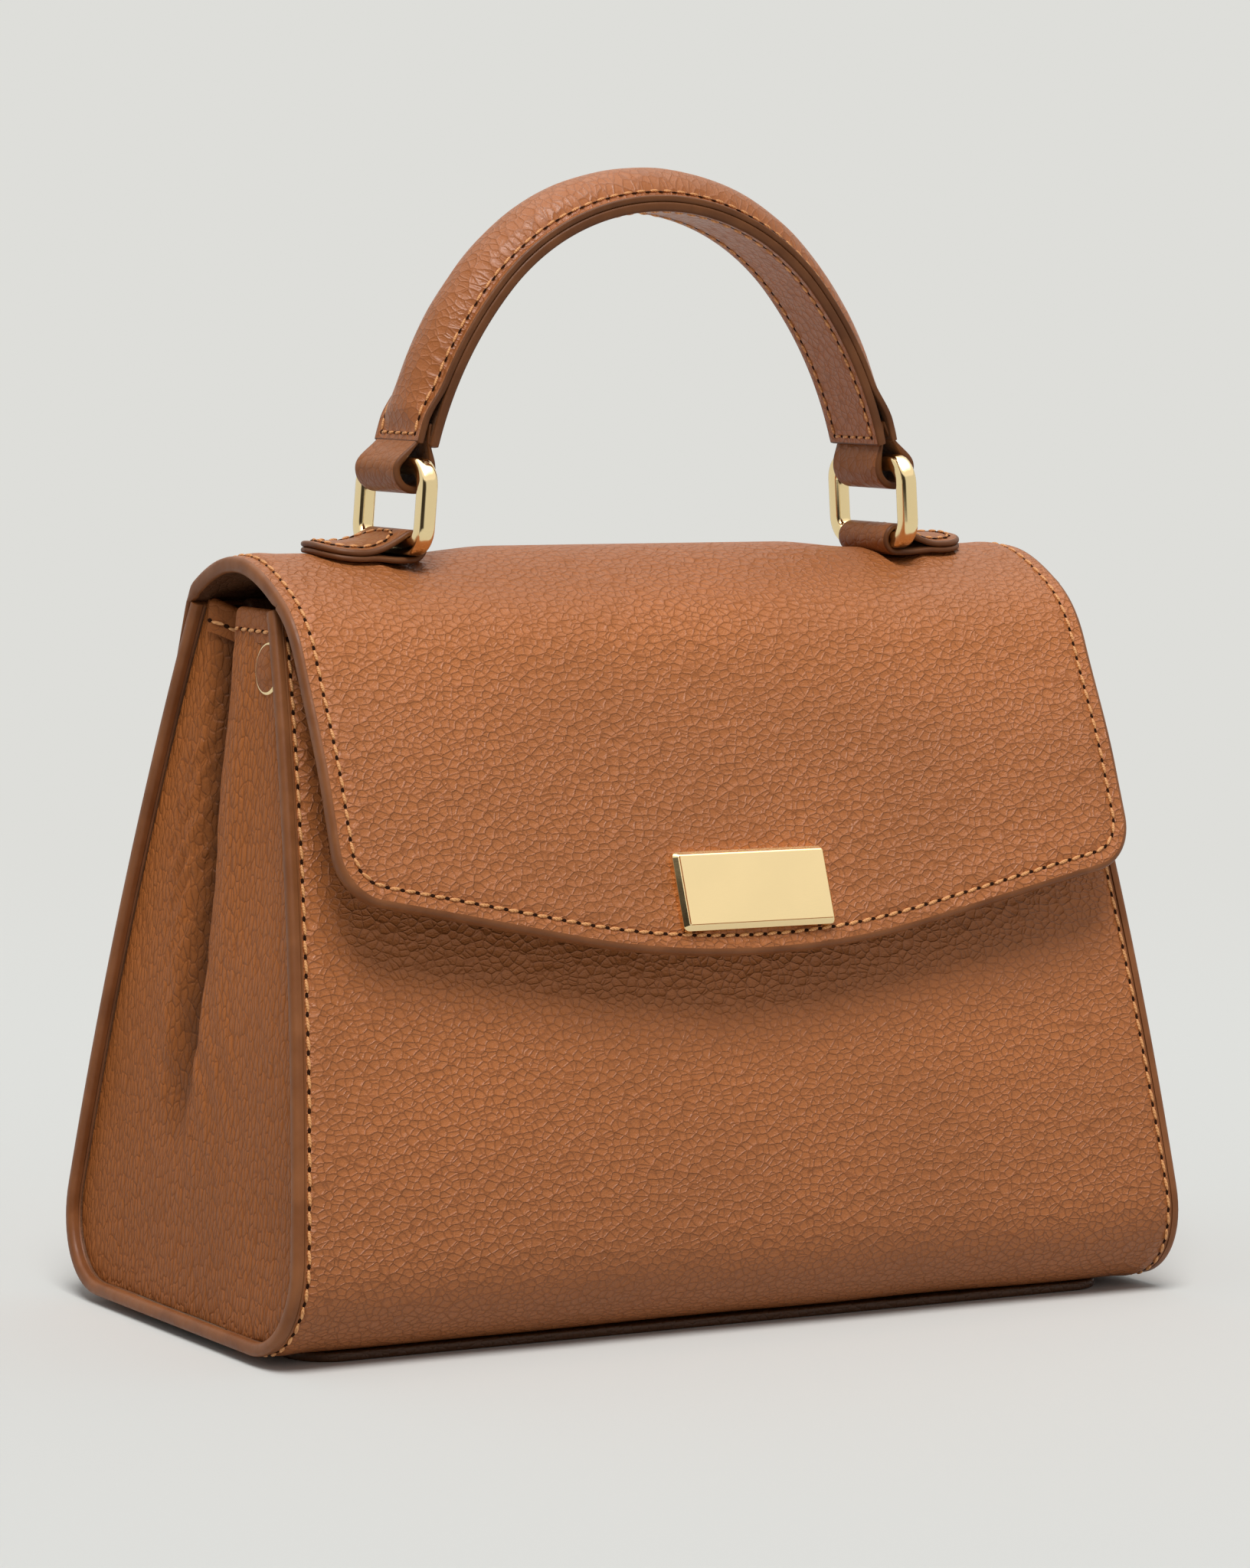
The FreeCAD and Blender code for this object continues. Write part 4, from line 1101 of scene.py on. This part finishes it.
seam_oval = []
for k, (y, end) in enumerate(((1, 0), (-1, 0), (-1, 1), (1, 1))):
    centre = Vector((y * (tab_half - tab_round), tab_seam_end if end else tab_round))
    turns = [-math.pi / 2 * (k + n / 8) for n in range(9)]
    seam_oval += [(centre + heading(a) * (tab_round - tab_seam)).to_tuple() for a in turns]
for name, side in both_sides:

    def lay(u, v, d):
        spot = on_tab(v, d)
        lies = smooth((spot.x - bar_x - 1.0) / 13.0)
        off = u + carry_y - crown_centre.x
        drop = (crown_radius - math.sqrt(crown_radius ** 2 - off ** 2)) * lies
        return Vector((side * spot.x, u + carry_y, spot.y - drop + tab_rise(spot.x))) * mm

    bm = leather_sheet(tab_columns, len(tab_rows) - 1, cut_tab, lay, tab_layer, tab_edge_round, tab_channel)
    tab = piece(name + "_tab", bm, tab_calf, dark_paint, flesh)
    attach(tab, "flap")
    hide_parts(name + "_tab")
    bm = bmesh.new()
    sew(bm, seam_oval, lay, pitch=3.9, thread=0.4, closed=True)
    seam = piece(name + "_tab_stitching", bm, thread, needle_hole_shade)
    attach(seam, "flap")


# Handle: a padded roll of tan calf over a flat strap, sewn together along both edges and
# across the ends. The two cut edges are painted together in one brown band.
handle_half, handle_edge, strap_edge, handle_seam, handle_end_seam = 12.8, 0.6, 0.7, 3.2, 2.4
handle_calf = leather("handle_calf", (0.36, 0.115, 0.031), (0.18, 0.052, 0.012), cells=430.0, depth=0.5,
                      gloss=0.36, cut=True)
eye = Vector((eye_from_arch.x, top_bar_z - eye_play_z))
arch_centre = eye - eye_from_arch
leg_centre = arch_centre - outward(handle_top_turn) * leg_reach
top_run = handle_top_radius * handle_top_turn
handle_run = top_run + handle_leg_radius * handle_leg_turn
flange_depth = handle_thickness - strap_thickness - flange_thickness
leg_taper, leg_taper_start, leg_taper_run = 1.2, 20.0, 60.0
end_taper, end_taper_start, end_taper_run = 1.6, 40.0, 32.0
end_lift, end_lift_start, end_lift_run = 2.0, 19.0, 13.0
end_fall, end_fall_inset, handle_columns, handle_thread = 7.0, 2.8, 32, 0.42


def lay_handle(u, v, d):
    s = abs(v)
    if s <= top_run:
        spot = arch_centre + outward(s / handle_top_radius) * (handle_top_radius - d)
    else:
        turn = handle_top_turn + (s - top_run) / handle_leg_radius
        spot = leg_centre + outward(turn) * (handle_leg_radius - d)
    return Vector((math.copysign(spot.x, v) if v else spot.x, u + carry_y, spot.y)) * mm


def pad_depth(u, v):
    lift = end_lift * smooth((abs(v) - handle_run + end_lift_start) / end_lift_run)
    taper = leg_taper * smooth((abs(v) - leg_taper_start) / leg_taper_run)
    taper += end_taper * smooth((abs(v) - handle_run + end_taper_start) / end_taper_run)
    end = smooth((handle_run - end_fall_inset - abs(v)) / end_fall)
    dome = (1 - min(1.0, abs(u) / (handle_half - handle_seam + 0.4)) ** 2.4) ** 0.8
    soft = 0.25 * noise.noise(Vector((u, v, 60.0)) / 14.0) * dome
    return flange_depth - lift - (core_height - lift - taper + soft) * dome * end


pad_near = [0.0, 0.8, 1.5, 2.0, 2.5, 3.0, 3.6, 4.4]
handle_ends = [0.0, 1.2, 2.4, 3.2, 4.0, 4.8, 5.6, 6.6, 7.6, 8.6, 9.6]
handle_rows = rows_between(handle_ends, 2 * handle_run - 2 * handle_edge, 120)


def cut_handle(i, j):
    v = -handle_run + handle_edge + handle_rows[j]
    return across(i, handle_columns, handle_half - handle_edge, pad_near), v


def pad_channel(u, v):
    edge = handle_half - abs(u)
    end = handle_run - abs(v)
    groove = channel_at(edge - handle_seam, 0.25, 0.7) if end > 2.0 else 0.0
    return max(groove, channel_at(end - handle_end_seam, 0.25, 0.7) if edge > 2.4 else 0.0)


def lay_pad(u, v, d):
    return lay_handle(u, v, d + pad_depth(u, v))


def lay_strap(u, v, d):
    return lay_handle(u, v, handle_thickness - d)


def handle_sheet(lay, thickness, rounding):
    rows = len(handle_rows) - 1
    return leather_sheet(handle_columns, rows, cut_handle, lay, thickness, rounding, pad_channel)


bm = handle_sheet(lay_pad, flange_thickness, handle_edge)
cover = piece("handle_cover", bm, handle_calf, dark_paint, flesh)
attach(cover, "handle")
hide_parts("handle_cover", "handle_core")
bm = handle_sheet(lay_strap, strap_thickness, strap_edge)
strap = piece("handle_strap", bm, handle_calf, dark_paint, flesh)
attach(strap, "handle")
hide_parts("handle_strap")
bm = bmesh.new()
seam_y, seam_end = handle_half - handle_seam, handle_run - handle_end_seam
for lay in (in_channel(lay_pad, pad_channel), in_channel(lay_strap, pad_channel)):
    for side in (-1, 1):
        long_seam = [(side * seam_y, v) for v in spread(-seam_end, seam_end, 160)]
        sew(bm, long_seam, lay, pitch=4.5, thread=handle_thread)
        end_seam = [(-seam_y, side * seam_end), (seam_y, side * seam_end)]
        sew(bm, end_seam, lay, pitch=4.2, thread=handle_thread)
handle_stitching = piece("handle_stitching", bm, thread, needle_hole_shade)
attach(handle_stitching, "handle")


# Handle loops: a strip of calf, skived thin where it is let into the end of the handle
# between pad and strap, and turned loosely round the top bar of the ring. Its edges are painted.
loop_half, loop_round, loop_columns, loop_rows, skived_share, skived_run = 11.5, 0.7, 20, 70, 0.5, 6.0
tongue_rise, tongue_half, tongue_run, tongue_pull, eye_pull = 1.05, 0.98, 6.0, 7.0, 4.5
tongue = leg_centre + outward(end_turn) * (tongue_radius - core_height / 2 + tongue_rise)
tongue_way, eye_way = onward(end_turn), onward(end_turn + neck_bend)
eye_side = outward(end_turn + neck_bend)
outer_start = tongue + outward(end_turn) * tongue_half - tongue_way * tongue_run
inner_start = tongue - outward(end_turn) * tongue_half - tongue_way * tongue_run
outer_eye, inner_eye = eye + eye_side * eye_radius, eye - eye_side * eye_radius
eye_angle = math.atan2(eye_side.y, eye_side.x)
leave, arrive = tongue_way * tongue_pull, eye_way * eye_pull
loop_line = ease(outer_start, outer_start + leave, outer_eye - arrive, outer_eye, 24)
loop_line += bend(eye, eye_radius, eye_angle, eye_angle - math.pi, 36)[1:]
loop_line += ease(inner_eye, inner_eye - arrive, inner_start + leave, inner_start, 24)[1:]
on_loop, loop_length = follow(loop_line, 1)


def cut_loop(i, j):
    v = loop_round + (loop_length - 2 * loop_round) * j / loop_rows
    return across(i, loop_columns, loop_half - loop_round, [0.0, 0.8, 1.8]), v


for name, side in both_sides:

    def lay(u, v, d):
        past = smooth((min(v, loop_length - v) - tongue_run) / skived_run)
        spot = on_loop(v, d * (skived_share + (1.0 - skived_share) * past))
        return Vector((side * spot.x, u + carry_y, spot.y)) * mm

    bm = leather_sheet(loop_columns, loop_rows, cut_loop, lay, loop_leather, loop_round)
    loop = piece(name + "_handle_loop", bm, tab_calf, dark_paint, flesh)
    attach(loop, "handle")
    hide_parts(name + "_handle_loop")


# Floor, light and camera: a pale matt floor, one large soft light above the camera, and a
# long lens from the left of the front. A dark card to one side shows only in reflections.
pale, card = (0.73, 0.73, 0.7, 1), (0.04, 0.035, 0.03, 1)
card_way, card_edge = (-0.78, -0.62, 0.0), (0.6, 0.88)


def seen_rays(tree):
    rays = add_node(tree, "ShaderNodeLightPath").outputs
    seen = combine(tree, "MAXIMUM", rays["Is Camera Ray"], rays["Is Glossy Ray"])
    return combine(tree, "MAXIMUM", seen, rays["Is Transmission Ray"]), rays["Is Glossy Ray"]


def toward_card(tree, way):
    inputs = {0: way, 1: card_way}
    return add_node(tree, "ShaderNodeVectorMath", inputs, operation="DOT_PRODUCT").outputs["Value"]


floor_finish, tree, skin = new_material("pale_floor")
where = object_place(tree)
far = add_node(tree, "ShaderNodeVectorMath", {0: where}, operation="LENGTH").outputs["Value"]
plug(tree, skin, {"Base Color": (0.7, 0.7, 0.672, 1), "Roughness": 0.9, "Specular IOR Level": 0.1})
seen, glossy = seen_rays(tree)
aside = ramp(tree, combine(tree, "DIVIDE", toward_card(tree, where), far), *card_edge)
aside = times(tree, times(tree, aside, ramp(tree, far, 0.8, 1.6)), glossy)
glow = mix_colour(tree, aside, pale, card)
glow = add_node(tree, "ShaderNodeEmission", {"Color": glow, "Strength": 1.0})
share = times(tree, ramp(tree, far, 0.35, 1.3), seen)
blend = add_node(tree, "ShaderNodeMixShader", {0: share, 1: skin.outputs[0], 2: glow.outputs[0]})
plug(tree, tree.nodes["Material Output"], {"Surface": blend.outputs[0]})
bm = bmesh.new()
bmesh.ops.create_circle(bm, cap_ends=True, segments=96, radius=9.0)
floor = piece("floor", bm, floor_finish)

world = bpy.data.worlds.new("studio")
bpy.context.scene.world = world
world.use_nodes = True
tree = world.node_tree
seen, glossy = seen_rays(tree)
way = add_node(tree, "ShaderNodeTexCoord").outputs["Generated"]
height = add_node(tree, "ShaderNodeSeparateXYZ", {0: way}).outputs["Z"]
walls = mix_colour(tree, ramp(tree, toward_card(tree, way), *card_edge), pale, card)
walls = mix_colour(tree, ramp(tree, height, 0.38, 0.5), walls, (1.0, 0.97, 0.92, 1))
walls = mix_colour(tree, ramp(tree, height, 0.66, 0.86), walls, (3.3, 3.2, 3.05, 1))
walls = mix_colour(tree, glossy, pale, walls)
around = add_node(tree, "ShaderNodeBackground", {"Color": (0.95, 0.98, 1.0, 1), "Strength": 0.36})
behind = add_node(tree, "ShaderNodeBackground", {"Color": walls, "Strength": 1.0})
blend = add_node(tree, "ShaderNodeMixShader", {0: seen, 1: around.outputs[0], 2: behind.outputs[0]})
plug(tree, tree.nodes["World Output"], {"Surface": blend.outputs[0]})

key = bpy.data.lights.new("key", "SUN")
key.energy = 2.46
key.angle = math.radians(28)
light = bpy.data.objects.new("key", key)
light.rotation_euler = Vector((0.22, 0.42, -0.88)).to_track_quat("-Z", "Y").to_euler()
bpy.context.scene.collection.objects.link(light)

lens = bpy.data.cameras.new("camera")
lens.sensor_fit = "VERTICAL"
lens.sensor_height = 36.0
lens.lens = 126.45
lens.shift_x = -0.0035
lens.shift_y = 0.0145
camera = bpy.data.objects.new("camera", lens)
stand = Vector((-0.7421, -1.2947, 0.2727))
aim = Vector((0, -0.00075, 0.13383))
roll_turn = math.radians(0.61)
ahead = (aim - stand).normalized()
level = ahead.cross(Vector((0, 0, 1))).normalized()
upright = level.cross(ahead)
right = level * math.cos(roll_turn) + upright * math.sin(roll_turn)
up = upright * math.cos(roll_turn) - level * math.sin(roll_turn)
camera.matrix_world = Matrix.Translation(stand) @ Matrix((right, up, -ahead)).transposed().to_4x4()
bpy.context.scene.collection.objects.link(camera)
bpy.context.scene.camera = camera
bpy.context.scene.view_settings.view_transform = "Standard"

bpy.context.view_layer.update()
